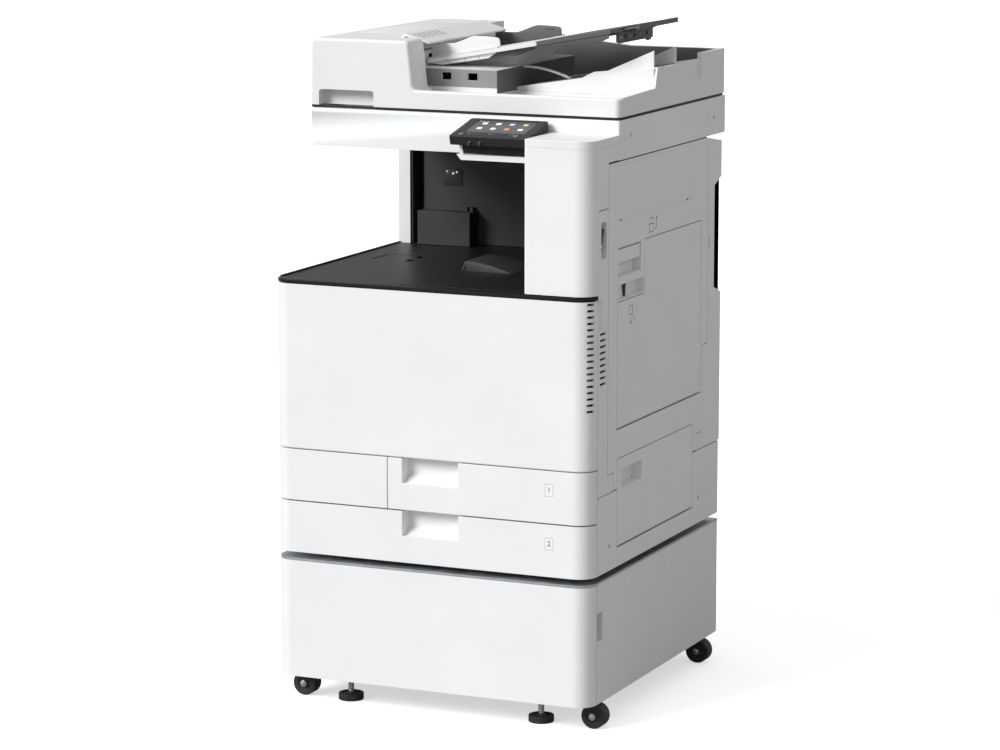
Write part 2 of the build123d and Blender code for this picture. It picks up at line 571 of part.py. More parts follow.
def scanner_housing():
    """White tray and the top frame that holds the glass, with side seams and six sunk discs on the right."""
    x0, x1, y0, y1 = SCAN_X0, HALF, SCAN_Y0, SCAN_BACK
    outer = block(x0, x1, y0, y1, SCAN_Z0, SCAN_Z1)
    outer = round_edges(outer, Axis.Z, [(x0, y0), (x0, y1)], 8)
    outer = round_edges(outer, Axis.Z, [(x1, y0), (x1, y1)], 4)
    box = outer - block(x0 + WALL, x1 - WALL, y0 + WALL, y1 - WALL, SCAN_Z0 + WALL, SCAN_Z1 - 5.2)
    gx0, gx1 = GLASS_X
    gy0, gy1 = GLASS_Y
    box -= block(gx0 - 0.2, gx1 + 0.2, gy0 - 0.2, gy1 + 0.2, SCAN_Z1 - WALL, SCAN_Z1 + 1)
    box -= block(gx0 + 6, gx1 - 6, gy0 + 6, gy1 - 6, SCAN_Z1 - 8, SCAN_Z1)
    for y in (122.8, 178.5, 512.0):
        box -= block(x1 - 0.8, x1 + 1, y - 0.6, y + 0.6, SCAN_Z0 - 1, SCAN_Z1 + 1)
    box -= block(x1 - WALL - 1, x1 + 1, 135.7, 137.7, 945, 961)
    for y in (235, 297, 341, 396, 452, 502):
        box -= rod_x(x1 - 0.6, x1 + 1, y, 954.8, 6)
    for y, z in SCAN_SCREWS:
        box -= rod_x(x1 - WALL - 1, x1 + 1, y, z, SCREW_R + 0.2)
    lid_z = SCAN_Z1 - 9
    whole = (x0 - 1, x1 + 1, y0 - 1, y1 + 1)
    return [box & block(*whole, SCAN_Z0 - 1, lid_z), box & block(*whole, lid_z, SCAN_Z1 + 1)]


def platen_glass():
    gx0, gx1 = GLASS_X
    gy0, gy1 = GLASS_Y
    return block(gx0, gx1, gy0, gy1, SCAN_Z1 - WALL, SCAN_Z1 - 0.2)


def scan_carriage():
    """Lamp and mirror carriage that crosses under the glass."""
    body = block(-222, -172, 145, 570, 940, 962)
    body -= block(-204, -190, 160, 555, 955, 963)
    return body


def scan_rails():
    """Two rails under the carriage."""
    rails = [block(-255, 255, y, y + 10, SCAN_Z0 + WALL + 0.2, 939) for y in (160, 545)]
    return rails


def screws():
    """Cross-head screws of the right side, all alike."""
    heads = []
    for y, z in SCAN_SCREWS + LOWER_SCREWS:
        head = rod_x(HALF - 2.6, HALF - 0.2, y, z, SCREW_R)
        head -= block(HALF - 1.2, HALF, y - 2.2, y + 2.2, z - 0.4, z + 0.4)
        head -= block(HALF - 1.2, HALF, y - 0.4, y + 0.4, z - 2.2, z + 2.2)
        heads.append(head + rod_x(HALF - 8, HALF - 2.6, y, z, 1.6))
    return heads


# ---- Right door, bypass tray, lower door, switch -----------------------------------------------------------
BYPASS_OUTLINE = [(112.0, 483.5), (487.0, 483.5), (487.0, 778.6), (230.0, 778.6), (230.0, 690.0),
                  (112.0, 690.0)]
BYPASS_AXIS = (HALF - 4, 487.5)
BYPASS_T = 8.0
BYPASS_PIN_R = 2.0
EXTENSION_X = (HALF - 7, HALF - 4.2)
EXTENSION_Y = (255.0, 462.0)
DOOR2_Y = (116.0, 453.5)
DOOR2_Z = (289.0, 434.0)
DOOR2_AXIS = (HALF - 4, DOOR2_Z[0] + 4)
LEVER_AXIS = (HALF - 4, 772.0)


def grown(outline, gap):
    """A rectilinear outline with every side moved outwards."""
    face = make_face(Polyline(*outline, close=True))
    return offset(face, gap, kind=Kind.INTERSECTION)


def right_door():
    """Tall door with a stepped edge, the opening for the bypass tray and two grip pockets."""
    door = plate_x(DOOR_OUTLINE, SKIN, HALF)
    door = round_edges(door, Axis.Z, [(HALF, DOOR_REAR_Y)], 1.6)
    bevel = 1.9
    door -= plate_z([(SKIN - 0.1, DOOR_UPPER_Y - bevel), (SKIN - 0.1, DOOR_UPPER_Y + 0.1),
                     (SKIN + bevel, DOOR_UPPER_Y + 0.1)], DOOR_STEP_Z, SCAN_Z0)
    door += block(266, SKIN + 1, 90, 494, 445, 905) - block(260, SKIN, 94, 490, 449, 901)
    bypass_gap = grown(BYPASS_OUTLINE, SEAM)
    door -= extrude(Plane.YZ.offset(SKIN - 2) * bypass_gap, 8)
    door += block(266, 268, 92, 492, 447, 903)
    y, z = BYPASS_OUTLINE[0][0] - SEAM, BYPASS_AXIS[1]
    rear = 487 + SEAM
    for y0, y1, hole_y0, hole_y1 in ((94, y, y - 9, y + 0.1), (rear, 494, rear - 0.1, 493)):
        door += block(267, SKIN + 0.5, y0, y1, z - 7, z + 7)
        door -= rod_y(BYPASS_AXIS[0], hole_y0, hole_y1, z, BYPASS_PIN_R + FIT)
    door += tray_box(265, SKIN + 0.5, 112, 214, 729, 780, 2, "x1")
    door -= block(SKIN - 1, HALF + 1, 114, 212, 731, 778)
    door += tray_box(268, SKIN + 0.5, 110, 228, 690 + SEAM, 720, 2, "x1")
    door -= block(SKIN - 1, HALF + 1, 112, 226, 692 + SEAM, 718)
    seam = block(HALF - 0.8, HALF + 1, 103, 448, 822, 912) - block(HALF - 1, HALF + 2, 104, 447, 823, 911)
    door -= seam
    x, y = DOOR_HINGE
    for z in DOOR_PIN_Z:
        door += block(x - 4, SKIN + 0.5, y - 4, y + 3, z + 3.5, z + 8)
        door -= rod_z(x, y, z - FREE, z + 12, PIN_R + FIT)
    return door


def bypass_tray():
    """Fold-down tray with pivots at its lower corners."""
    panel = plate_x(BYPASS_OUTLINE, HALF - BYPASS_T, HALF)
    panel = round_edges(panel, Axis.Y, [(HALF, 483.5)], 3.9)
    panel -= block(HALF - BYPASS_T - 1, HALF - WALL, 124, 475, 500, 678)
    panel -= block(HALF - BYPASS_T - 1, HALF - WALL, 242, 475, 670, 768)
    x, z = BYPASS_AXIS
    panel += rod_y(x, 103, 114, z, BYPASS_PIN_R) + rod_y(x, 485, 492, z, BYPASS_PIN_R)
    x0, x1 = EXTENSION_X
    y0, y1 = EXTENSION_Y
    return panel - block(x0 - 0.3, x1 + 0.3, y0 - FREE, y1 + FREE, 766, 780)


def bypass_extension():
    """Sheet support that slides out of the bypass tray."""
    plate = block(*EXTENSION_X, *EXTENSION_Y, 560, 762)
    return plate - block(HALF - 8, HALF - 3, 330, 390, 740, 752)


def latch_lever():
    """Flap in the upper pocket that frees the right door."""
    x, z = LEVER_AXIS
    lever = block(HALF - 5.5, HALF - 1, 117, 209, 754, z + 3)
    lever = round_edges(lever, Axis.Y, [(HALF - 5.5, z + 3), (HALF - 1, z + 3)], 2)
    return lever + rod_y(x, 114.5, 211.5, z, 1.2)


def lower_right_door():
    """Fold-down door with a grip pocket near its top left corner."""
    y0, y1 = DOOR2_Y
    z0, z1 = DOOR2_Z
    panel = block(HALF - 8, HALF, y0, y1, z0, z1)
    panel = round_edges(panel, Axis.Y, [(HALF, z0)], 3.9)
    panel -= block(HALF - 9, HALF - WALL, y0 + 6, y1 - 6, z0 + 12, z1 - 6)
    panel += tray_box(HALF - 20, HALF - WALL + 0.5, 131, 225, 382, 417, 2, "x1")
    panel -= block(HALF - 4, HALF + 1, 133, 223, 384, 415)
    x, z = DOOR2_AXIS
    return panel + rod_y(x, y0 - 4.5, y0 + 1, z, PIN_R) + rod_y(x, y1 - 1, y1 + 4.5, z, PIN_R)


def power_switch():
    """Rocker of the mains switch, on a pin through its middle."""
    y0, y1 = SWITCH_Y
    rocker = plate_y([(-1.5, -13), (2.5, -18), (6.5, -18), (5.6, 0), (6.5, 18), (2.5, 18), (-1.5, 13)],
                     y0 + 3, y1 - 3)
    x, z = SWITCH_AXIS
    rocker = Pos(x, 0, z) * Rot(0, SWITCH_REST, 0) * rocker
    return rocker + rod_y(x, y0 - 1, y1 + 1, z, SWITCH_PIN_R)


# ---- Document feeder ---------------------------------------------------------------------------------------
FEEDER_HINGE = (593.5, 993.0)          # level axis behind the feeder
COVER_AXIS = (-262.0, 1077.0)          # level axis of the feeder cover
FEEDER_COVER_Z0 = 1072.0
FEEDER_LEAN = 10.0                     # how far the feeder block's right face leans in at its top
HEAD_Y1 = 176.0                        # back of the fixed front end of the feeder block
TABLE_Y = (232.0, 528.0)
TABLE_T = 7.0
TABLE_X = (HEAD_X1 + 3, 78.0)
HOUSING_TOP = 1047.0                    # top of the low housing under the document table
SPLIT_X = 84.0                         # axis of the folding document tray
TRAY_END_X = 216.0
EXTENSION_IN_X = 128.0                 # inner end of the tray extension
EXTENSION_WIDE = (295.0, 465.0)
SLOPE = math.tan(math.radians(TRAY_SLOPE))
GUIDE_Y = (252.0, 508.0)


def table_z(x):
    """Height of the document table's upper face."""
    return 1058 + (x + 109) * SLOPE


def sloped(x0, x1, y0, y1, top, bottom):
    """A slab that follows the document table's slope, between two distances from its upper face."""
    return plate_y([(x0, table_z(x0) + bottom), (x1, table_z(x1) + bottom), (x1, table_z(x1) + top),
                    (x0, table_z(x0) + top)], y0, y1)


def feeder_base():
    """Feeder body: base slab, feeder block, walls round the output well, sloping platform and fins."""
    x0, x1, y0, y1 = SCAN_X0 + 1, HALF, SCAN_Y0, FEEDER_BACK
    slab = block(x0, x1, y0, y1, FEEDER_Z0, FEEDER_Z0 + 21)
    slab = round_edges(slab, Axis.Z, [(x0, y0), (x1, y0)], 10)
    rim_top = 1017
    toe = 6
    front = Pos(0, HEAD_Y1, 0) * extrude(Plane.XZ * make_face([
        Polyline((FEEDER_X1 + toe, rim_top), (FEEDER_X1 + toe, FEEDER_Z0), (x0, FEEDER_Z0),
                 (x0 + 2, FEEDER_Z1), (FEEDER_X1 - FEEDER_LEAN, FEEDER_Z1),
                 (FEEDER_X1 - 2, rim_top + toe)),
        RadiusArc((FEEDER_X1 - 2, rim_top + toe), (FEEDER_X1 + toe, rim_top), -toe - 2)]), HEAD_Y1 - y0)
    front = round_edges(front, Axis.Y, [(x0 + 2, FEEDER_Z1), (FEEDER_X1 - FEEDER_LEAN, FEEDER_Z1)], 8)
    front_rim = [edge for edge in front.edges() if edge.bounding_box().max.Y < y0 + 0.1
                 and edge.center().Z > rim_top + 1]
    front = fillet(front_rim, 5)
    head = block(x0, HEAD_X1, HEAD_Y1 - 1, y1, FEEDER_Z0, FEEDER_COVER_Z0 - FREE)
    base = slab + front + head
    rim = block(FEEDER_X1 - 1, x1, y0, y0 + 12, FEEDER_Z0, rim_top)
    rim = round_edges(rim, Axis.Z, [(x1, y0)], 10)
    base += round_edges(rim, Axis.X, [(y0, rim_top), (y0 + 12, rim_top)], 4)
    base += plate_x([(y0 + 10, 1000), (y0 + 10, rim_top), (270, 1021), (280, 1054), (393, 1051), (405, 1022),
                     (478, 1022), (484, 1062.5), (y1, 1062.5), (y1, 1000)], x1 - 9, x1)
    base += plate_y([(HEAD_X1 - 1, 1000), (HEAD_X1 - 1, 1071.4), (25, 1071.4), (116, 1062.5),
                     (x1, 1062.5), (x1, 1000)], y1 - 12, y1)
    base += plate_y([(8, 1000), (8, 1009.6), (x1 - 5, 1053), (x1 - 5, 1000)], 275, 484)
    for y in (286, 384):
        base += plate_y([(130, 1024), (168, 1042.5), (192, 1045), (273, 1080.5), (273, 1030)], y, y + 4)
    base += block(HEAD_X1 - 1, 34, 195, 520, 1000, HOUSING_TOP)
    for x in (-66, -19):
        base -= block(x, x + 18, 190, 210, 1029, 1041)
    grip = block(-253, -153, y0 - 1, y0 + 22, FEEDER_Z0 - 1, 1013)
    base -= round_edges(grip, Axis.Y, [(-253, 1013), (-153, 1013)], 5)
    base -= block(-256, HEAD_X1 - 14, HEAD_Y1 + 6, 575, 1002, 1080) + block(-256, -106, 130, HEAD_Y1 + 8, 1022, 1086)
    base -= block(HEAD_X1 - 15, HEAD_X1 + 1, 244, 516, 1057, 1066)
    base -= block(HEAD_X1 + 4, 29, 200, 515, FEEDER_Z0 - 1, HOUSING_TOP - 5)
    base -= plate_y([(20, FEEDER_Z0 - 1), (20, 1004), (268, 1043), (268, FEEDER_Z0 - 1)], 280, 478)
    base -= block(LEVER_X - 6, LEVER_X + 10, 298, 316, 1040, 1050)
    base -= block(34, 278, 140, 262, FEEDER_Z0 + 14, 1060)
    for x in (-190, 190):
        base -= rod_x(x - 21, x + 21, *FEEDER_HINGE, 5.2)
        leaf = block(x - 7, x + 7, y1 - 2, FEEDER_HINGE[0], FEEDER_HINGE[1] - 3, FEEDER_HINGE[1] + 8)
        knuckle = leaf + rod_x(x - 7, x + 7, *FEEDER_HINGE, 4.2)
        base += knuckle - rod_x(x - 8, x + 8, *FEEDER_HINGE, 2 + FIT)
    return base


def feeder_hinges():
    """Two brackets on the scanner, each with a pin through the feeder's knuckle."""
    y, z = FEEDER_HINGE
    parts = []
    for x in (-190, 190):
        ears = rod_x(x - 14, x - 7.5, y, z, 4.2) + rod_x(x + 7.5, x + 14, y, z, 4.2)
        feet = block(x - 14, x - 7.5, y - 4, y + 4.2, SCAN_Z1, z) + block(x + 7.5, x + 14, y - 4, y + 4.2,
                                                                         SCAN_Z1, z)
        parts.append(ears + feet + rod_x(x - 14, x + 14, y, z, 2))
    return parts


def platen_pad():
    """White pad under the feeder that presses the original on the glass."""
    return block(GLASS_X[0] + 4, GLASS_X[1] - 4, GLASS_Y[0] + 4, GLASS_Y[1] - 4, SCAN_Z1 + FREE, FEEDER_Z0)


def feeder_cover():
    """Lid over the feed rollers, hinged at its left end, with a lip that slopes down over the paper slot."""
    x0, x1, y0, y1 = SCAN_X0 + 3, HEAD_X1 - 15, HEAD_Y1 + SEAM, FEEDER_BACK - 2
    lip_x = FEEDER_X1 - 3
    lid = block(x0, x1, y0, y1, FEEDER_COVER_Z0, FEEDER_Z1)
    lid = round_edges(lid, Axis.Y, [(x0, FEEDER_COVER_Z0)], 4.9)
    lid = round_edges(lid, Axis.Y, [(x0, FEEDER_Z1)], 8)
    lid += plate_y([(x1 - 12, FEEDER_Z1 - 1), (x1, FEEDER_Z1 + 6), (lip_x, FEEDER_Z1 - 7),
                    (lip_x, FEEDER_Z1 - 10), (x1, FEEDER_Z1 + 1), (x1 - 2, FEEDER_Z1 - 8)], y0 + 8, 500)
    lid -= block(x0 + 14, x1 - 3, y0 + 14, y1 - 6, FEEDER_COVER_Z0 - 1, FEEDER_Z1 - 4)
    return lid


def feed_rollers():
    """Pick-up and separation rollers on their shafts in the feeder."""
    parts = []
    for x, z in ((-142, 1048), (-185, 1046)):
        shaft = rod_y(x, 200, 520, z, 3)
        for y in (335, 375):
            shaft += rod_y(x, y, y + 24, z, 12)
        parts.append(shaft)
    return parts


def document_table():
    """Sloping table beside the feeder, with cheeks that hold the folding tray's pins."""
    x0, x1 = TABLE_X
    table = sloped(x0, x1, *TABLE_Y, 0, -TABLE_T)
    table += sloped(x0, 30, TABLE_Y[0] + 40, TABLE_Y[1] - 40, -TABLE_T + 1, -10)
    foot_x = x0 + 6
    table += plate_y([(foot_x, HOUSING_TOP), (22, HOUSING_TOP), (22, table_z(22) - 8),
                      (foot_x, table_z(foot_x) - 8)], 300, 460)
    z = table_z(SPLIT_X) - TABLE_T / 2
    for y, inner in ((TABLE_Y[0], 1), (TABLE_Y[1] - 6, -1)):
        table += sloped(x1 - 12, SPLIT_X, y, y + 6, 0, -TABLE_T)
        table += rod_y(SPLIT_X, y, y + 6, z, TABLE_T / 2)
        pin_y = (y + 5, y + 12) if inner > 0 else (y - 6, y + 1)
        table += rod_y(SPLIT_X, *pin_y, z, PIN_R)
    return table


def document_tray():
    """Folding outer tray with a slot for its extension."""
    y0, y1 = TABLE_Y[0] + 6 + FREE, TABLE_Y[1] - 6 - FREE
    z = table_z(SPLIT_X) - TABLE_T / 2
    tray = sloped(SPLIT_X, TRAY_END_X, y0, y1, 0, -TABLE_T) + rod_y(SPLIT_X, y0, y1, z, TABLE_T / 2)
    tray -= rod_y(SPLIT_X, y0 - 1, y1 + 1, z, PIN_R + FIT)
    tray -= sloped(96, TRAY_END_X + 1, EXTENSION_WIDE[0] - FREE, EXTENSION_WIDE[1] + FREE, -1.7, -5.3)
    for y in (y0 + 30, (y0 + y1) / 2, y1 - 34):
        tray += plate_y([(96, table_z(96) - 6.5), (TRAY_END_X - 10, table_z(TRAY_END_X - 10) - 6.5),
                         (TRAY_END_X - 30, table_z(TRAY_END_X - 30) - 12), (110, table_z(110) - 12)],
                        y, y + 3)
    return tray


def tray_extension():
    """Slide-in extension of the document tray, with a deeper lip at its tip to pull it by."""
    y0, y1 = EXTENSION_WIDE
    plate = sloped(EXTENSION_IN_X, TRAY_TIP_X, y0, y1, -2.0, -5.0)
    plate += sloped(TRAY_TIP_X - 8, TRAY_TIP_X, y0, y1, 1.0, -7.5)
    return round_edges(plate, Axis.Z, [(TRAY_TIP_X, y0), (TRAY_TIP_X, y1)], 5)


def width_guide(y, sign):
    """Upright guide with a stepped top on a foot that slides over the table."""
    x0, x1 = HEAD_X1 + 3, 16
    foot = sloped(x0, x1, min(y, y + sign * 16), max(y, y + sign * 16), 2.0, 0.4)
    top = [(x0, table_z(x0) + 0.4), (x1, table_z(x1) + 0.4), (13, 1096.5), (-33, 1098), (-69, 1084.5),
           (x0, 1084.5)]
    return foot + plate_y(top, min(y, y + sign * 3), max(y, y + sign * 3))


LEVER_X = 32.0
STOPPER_AXIS = (LEVER_X, 1045.0)


def stopper_lever():
    """Light arm that holds delivered originals down in the output well."""
    x, z = STOPPER_AXIS
    arm = plate_y([(x, z - 2), (x, z + 2), (x + 30, z - 1), (x + 58, z - 6), (x + 84, z - 13),
                   (x + 86, z - 16), (x + 82, z - 17), (x + 55, z - 10), (x + 30, z - 5)], 303, 311)
    return arm + rod_y(x, 298.4, 315.6, z, 2)


# ---- Engine inside the unit --------------------------------------------------------------------------------
COLOUR_X = (-195.0, -100.0, -5.0, 90.0)


def toner_bottles():
    bottles = []
    for x in COLOUR_X:
        bottle = rod_y(x, 60, 410, 652, 29)
        bottle = fillet(bottle.edges().filter_by(GeomType.CIRCLE), 4)
        bottles.append(bottle + rod_y(x, 52, 60, 652, 18) + block(x - 8, x + 8, 46, 54, 646, 658))
    return bottles


def drum_units():
    units = []
    for x in COLOUR_X:
        case = block(x - 38, x + 38, 60, 420, 515, 545)
        case -= block(x - 20, x + 20, 75, 405, 532, 546)
        case += rod_y(x, 70, 410, 543, 14)
        units.append(case + block(x - 16, x + 16, 48, 61, 518, 540))
    return units


def transfer_belt_unit():
    """Endless belt round three rollers above the drums."""
    belt = block(-230, 165, 70, 410, 566, 592)
    belt = fillet(belt.edges().filter_by(Axis.Y), 12)
    belt -= block(-215, 150, 60, 420, 573, 585)
    for x in (-224, -30, 158):
        belt += rod_y(x, 60, 420, 579, 5)
    return belt


def laser_unit():
    box = block(-240, 150, 75, 420, 450, 500)
    for x in COLOUR_X:
        box -= block(x - 4, x + 4, 90, 400, 492, 501)
    return box


def fuser_unit():
    """Heat roller and pressure roller in an open-sided case."""
    case = tray_box(185, 248, 110, 470, 610, 690, 2.5, "z0") - block(208, 226, 130, 450, 680, 700)
    heat = rod_y(203, 120, 460, 650, 13)
    press = rod_y(230.5, 120, 460, 650, 13.5)
    return [case, heat, press]


def power_supply():
    box = tray_box(-262, -130, 440, 538, 445, 560, 2, "z1")
    for i in range(8):
        box -= block(-250 + 14 * i, -242 + 14 * i, 438, 443, 460, 540)
    box += block(-250, -200, 450, 530, 446, 500) + block(-190, -150, 460, 520, 446, 520)
    return box


def controller_board():
    board = block(-110, 150, 532, 534.4, 450, 690)
    for x, z, w, h in ((-60, 600, 40, 40), (30, 560, 60, 30), (20, 480, 90, 25), (-90, 500, 30, 60)):
        board += block(x, x + w, 522, 533, z, z + h)
    return board


# ---- All nodes ---------------------------------------------------------------------------------------------
def build():
    nodes = {
        "pedestal_frame": pedestal_frame(),
        "pedestal_panels": [pedestal_side(-1), pedestal_side(1), pedestal_back()],
        "pedestal_door": pedestal_door(),
        "main_frame": main_frame(),
        "rear_cover": rear_cover(),
        "power_inlet": power_inlet(),
        "left_cover": left_cover(),
        "side_strip": side_strip(),
        "right_lower_cover": right_lower_cover(),
        "right_rear_cover": right_rear_cover(),
        "blank_panel": blank_panel(),
        "drawer_1_front": drawer_front(DRAWER1_X0, DRAWER1_Z0, DRAWER1_TOP, (HALF,)),
        "drawer_1_bin": drawer_bin(SHELF + 6, DRAWER1_TOP - 6),
        "drawer_2_front": drawer_front(-HALF, DRAWER2_Z0, DRAWER2_TOP, (-HALF, HALF)),
        "drawer_2_bin": drawer_bin(UNIT_Z0 + 7, SHELF - 4),
        "front_cover": front_cover(),
        "delivery_tray": delivery_tray(),
        "stopper_flap": stopper_flap(),
        "cavity_wall": cavity_wall(),
        "tower_cover": tower_cover() + panel_bracket(),
        "control_panel": control_panel(),
        "touch_screen": touch_screen(),
        "scanner_housing": scanner_housing() + scan_rails(),
        "platen_glass": platen_glass(),
        "scan_carriage": scan_carriage(),
        "screws": screws(),
        "right_door": right_door(),
        "bypass_tray": bypass_tray(),
        "bypass_extension": bypass_extension(),
        "latch_lever": latch_lever(),
        "lower_right_door": lower_right_door(),
        "power_switch": power_switch(),
        "feeder_base": [feeder_base(), platen_pad()],
        "feeder_hinges": feeder_hinges(),
        "feeder_cover": feeder_cover(),
        "feed_rollers": feed_rollers(),
        "document_table": document_table(),
        "document_tray": document_tray(),
        "tray_extension": tray_extension(),
        "front_guide": width_guide(GUIDE_Y[0], -1),
        "rear_guide": width_guide(GUIDE_Y[1], 1),
        "stopper_lever": stopper_lever(),
        "toner_bottles": toner_bottles(),
        "drum_units": drum_units(),
        "transfer_belt_unit": transfer_belt_unit(),
        "laser_unit": laser_unit(),
        "fuser_unit": fuser_unit() + [exit_rollers()],
        "electronics": [power_supply(), controller_board()],
    }
    for name, x in KEYS.items():
        nodes[name] = panel_key(x)
    for place, (x, y, side) in CASTERS.items():
        nodes["caster_fork_" + place] = caster_fork(x, y, side)
        nodes["caster_wheel_" + place] = caster_wheel(x, y, side)
    for side, x in (("left", -FOOT_X), ("right", FOOT_X)):
        nodes["levelling_foot_" + side] = levelling_foot(x)
    return nodes


def as_solids(shape):
    """The separate solids of a node, whether it was given as one shape or as a list of shapes."""
    shapes = shape if isinstance(shape, list) else [shape]
    return [solid for item in shapes for solid in item.solids()]


def main():
    os.makedirs("parts", exist_ok=True)
    nodes = {name: Compound(children=as_solids(shape)) for name, shape in build().items()}
    whole = Compound(children=[Compound(node.wrapped) for node in nodes.values()]).bounding_box()
    middle = Pos(-(whole.min.X + whole.max.X) / 2, -(whole.min.Y + whole.max.Y) / 2, -whole.min.Z)
    print("moved by", middle.position, "size", whole.size, "nodes", len(nodes))
    for name, node in nodes.items():
        export_step(middle * node, "parts/" + name + ".step")


main()
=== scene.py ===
"""Looks of an office photocopier: soft-edged covers, fitted details, finishes and a plain studio."""
import json
import math
from contextlib import contextmanager

import bpy
from bpy.props import FloatProperty, FloatVectorProperty, IntProperty, PointerProperty
from bpy.types import Operator, Panel, PropertyGroup
from mathutils import Matrix, Vector

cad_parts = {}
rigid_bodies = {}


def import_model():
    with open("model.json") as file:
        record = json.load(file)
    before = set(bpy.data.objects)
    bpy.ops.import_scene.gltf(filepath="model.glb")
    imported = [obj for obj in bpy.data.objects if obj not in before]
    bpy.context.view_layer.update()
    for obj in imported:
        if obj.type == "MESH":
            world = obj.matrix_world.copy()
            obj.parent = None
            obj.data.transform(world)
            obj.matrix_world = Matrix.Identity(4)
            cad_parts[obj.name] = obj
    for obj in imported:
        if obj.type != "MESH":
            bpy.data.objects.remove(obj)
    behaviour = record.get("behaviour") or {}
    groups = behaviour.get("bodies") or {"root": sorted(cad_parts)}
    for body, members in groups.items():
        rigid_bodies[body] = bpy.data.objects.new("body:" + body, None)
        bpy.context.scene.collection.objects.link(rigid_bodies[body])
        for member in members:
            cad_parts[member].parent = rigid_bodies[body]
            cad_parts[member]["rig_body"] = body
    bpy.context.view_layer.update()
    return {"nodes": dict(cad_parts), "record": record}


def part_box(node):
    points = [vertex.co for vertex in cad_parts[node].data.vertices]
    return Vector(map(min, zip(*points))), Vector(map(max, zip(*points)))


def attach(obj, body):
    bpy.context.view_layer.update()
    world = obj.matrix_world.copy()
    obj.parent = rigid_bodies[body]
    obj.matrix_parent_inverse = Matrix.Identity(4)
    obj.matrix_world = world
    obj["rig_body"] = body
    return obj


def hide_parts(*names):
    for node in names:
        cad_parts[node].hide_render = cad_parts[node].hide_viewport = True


bl_info = {
    "name": "Office Photocopier",
    "version": (1, 0, 0),
    "blender": (4, 5, 0),
    "location": "3D View > Sidebar > Copier",
    "description": "Builds the looks of an office photocopier round its packed model",
    "category": "Object",
}

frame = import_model()
MM = 0.001
COVER_LOW, COVER_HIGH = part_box("front_cover")
MIDDLE_X = (COVER_LOW.x + COVER_HIGH.x) / 2
HALF = (COVER_HIGH.x - COVER_LOW.x) / 2 / MM
NODE_SLOT = {part["node"]: part["material_slot"] for part in frame["record"]["subparts"]}


def spot(x, y, z):
    """A point given in millimetres from the cabinet's middle, front face and floor, in the frame's metres."""
    return Vector((MIDDLE_X + x * MM, COVER_LOW.y + y * MM, z * MM))


def from_spot(point):
    """The same the other way: a frame point in the cabinet's millimetres."""
    return Vector(((point.x - MIDDLE_X) / MM, (point.y - COVER_LOW.y) / MM, point.z / MM))


def span(node):
    """The lowest and highest corner of a CAD node in the cabinet's millimetres."""
    low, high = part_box(node)
    return from_spot(low), from_spot(high)


# ---- Selecting and shaping ---------------------------------------------------------------------------------
def clear_selection():
    if bpy.context.object and bpy.context.object.mode != "OBJECT":
        bpy.ops.object.mode_set(mode="OBJECT")
    bpy.ops.object.select_all(action="DESELECT")


def pick(piece):
    clear_selection()
    piece.select_set(True)
    bpy.context.view_layer.objects.active = piece


@contextmanager
def editing(piece):
    """Edit mode on one piece, with nothing in it selected."""
    pick(piece)
    bpy.ops.object.mode_set(mode="EDIT")
    bpy.ops.mesh.select_mode(type="FACE")
    bpy.ops.mesh.select_all(action="DESELECT")
    yield
    bpy.ops.object.mode_set(mode="OBJECT")


def select_faces(piece, test):
    """Select the faces whose centre and normal pass the test; the piece is in edit mode before and after."""
    bpy.ops.object.mode_set(mode="OBJECT")
    for face in piece.data.polygons:
        face.select = bool(test(face.center, face.normal))
    bpy.ops.object.mode_set(mode="EDIT")


def settle(piece, name):
    """Name a new piece and put its place, turn and size into its mesh."""
    pick(piece)
    bpy.ops.object.transform_apply(location=True, rotation=True, scale=True)
    piece.name = name
    piece.data.name = name
    return piece


def smooth(piece, degrees=35.0):
    pick(piece)
    bpy.ops.object.shade_smooth_by_angle(angle=math.radians(degrees))


def soften(piece, width, segments=2, degrees=35.0):
    """Round a piece's edges with an applied bevel, then smooth its curved faces. The width is in mm."""
    pick(piece)
    bevel = piece.modifiers.new("Edges", "BEVEL")
    bevel.width = width * MM
    bevel.segments = segments
    bevel.limit_method = "ANGLE"
    bevel.angle_limit = math.radians(degrees)
    bevel.use_clamp_overlap = True
    bpy.ops.object.modifier_apply(modifier=bevel.name)
    smooth(piece)
    return piece


def new_block(name, low, high):
    """A box between two corners, given in the cabinet's millimetres."""
    clear_selection()
    a, b = spot(*low), spot(*high)
    bpy.ops.mesh.primitive_cube_add(size=1, location=(a + b) / 2, scale=b - a)
    return settle(bpy.context.object, name)


def new_rod(name, start, end, radius, sides=32):
    """A round bar between two points, given in the cabinet's millimetres."""
    clear_selection()
    a, b = spot(*start), spot(*end)
    turn = (b - a).to_track_quat("Z", "Y").to_euler()
    bpy.ops.mesh.primitive_cylinder_add(vertices=sides, radius=radius * MM, depth=(b - a).length,
                                        location=(a + b) / 2, rotation=turn)
    return settle(bpy.context.object, name)


def new_plate(name, outline, axis, start, end):
    """A flat outline drawn across an axis, extruded along it. All in the cabinet's millimetres."""
    clear_selection()
    bpy.ops.mesh.primitive_circle_add(vertices=len(outline), radius=MM, fill_type="NGON")
    piece = settle(bpy.context.object, name)
    for vertex, (u, v) in zip(piece.data.vertices, outline):
        vertex.co = spot(*{"X": (start, u, v), "Y": (u, start, v), "Z": (u, v, start)}[axis])
    shift = Vector([(end - start) * MM if name_of == axis else 0 for name_of in "XYZ"])
    with editing(piece):
        bpy.ops.mesh.select_all(action="SELECT")
        bpy.ops.mesh.extrude_region_move(TRANSFORM_OT_translate={"value": shift})
        bpy.ops.mesh.select_all(action="SELECT")
        bpy.ops.mesh.normals_make_consistent(inside=False)
    return piece


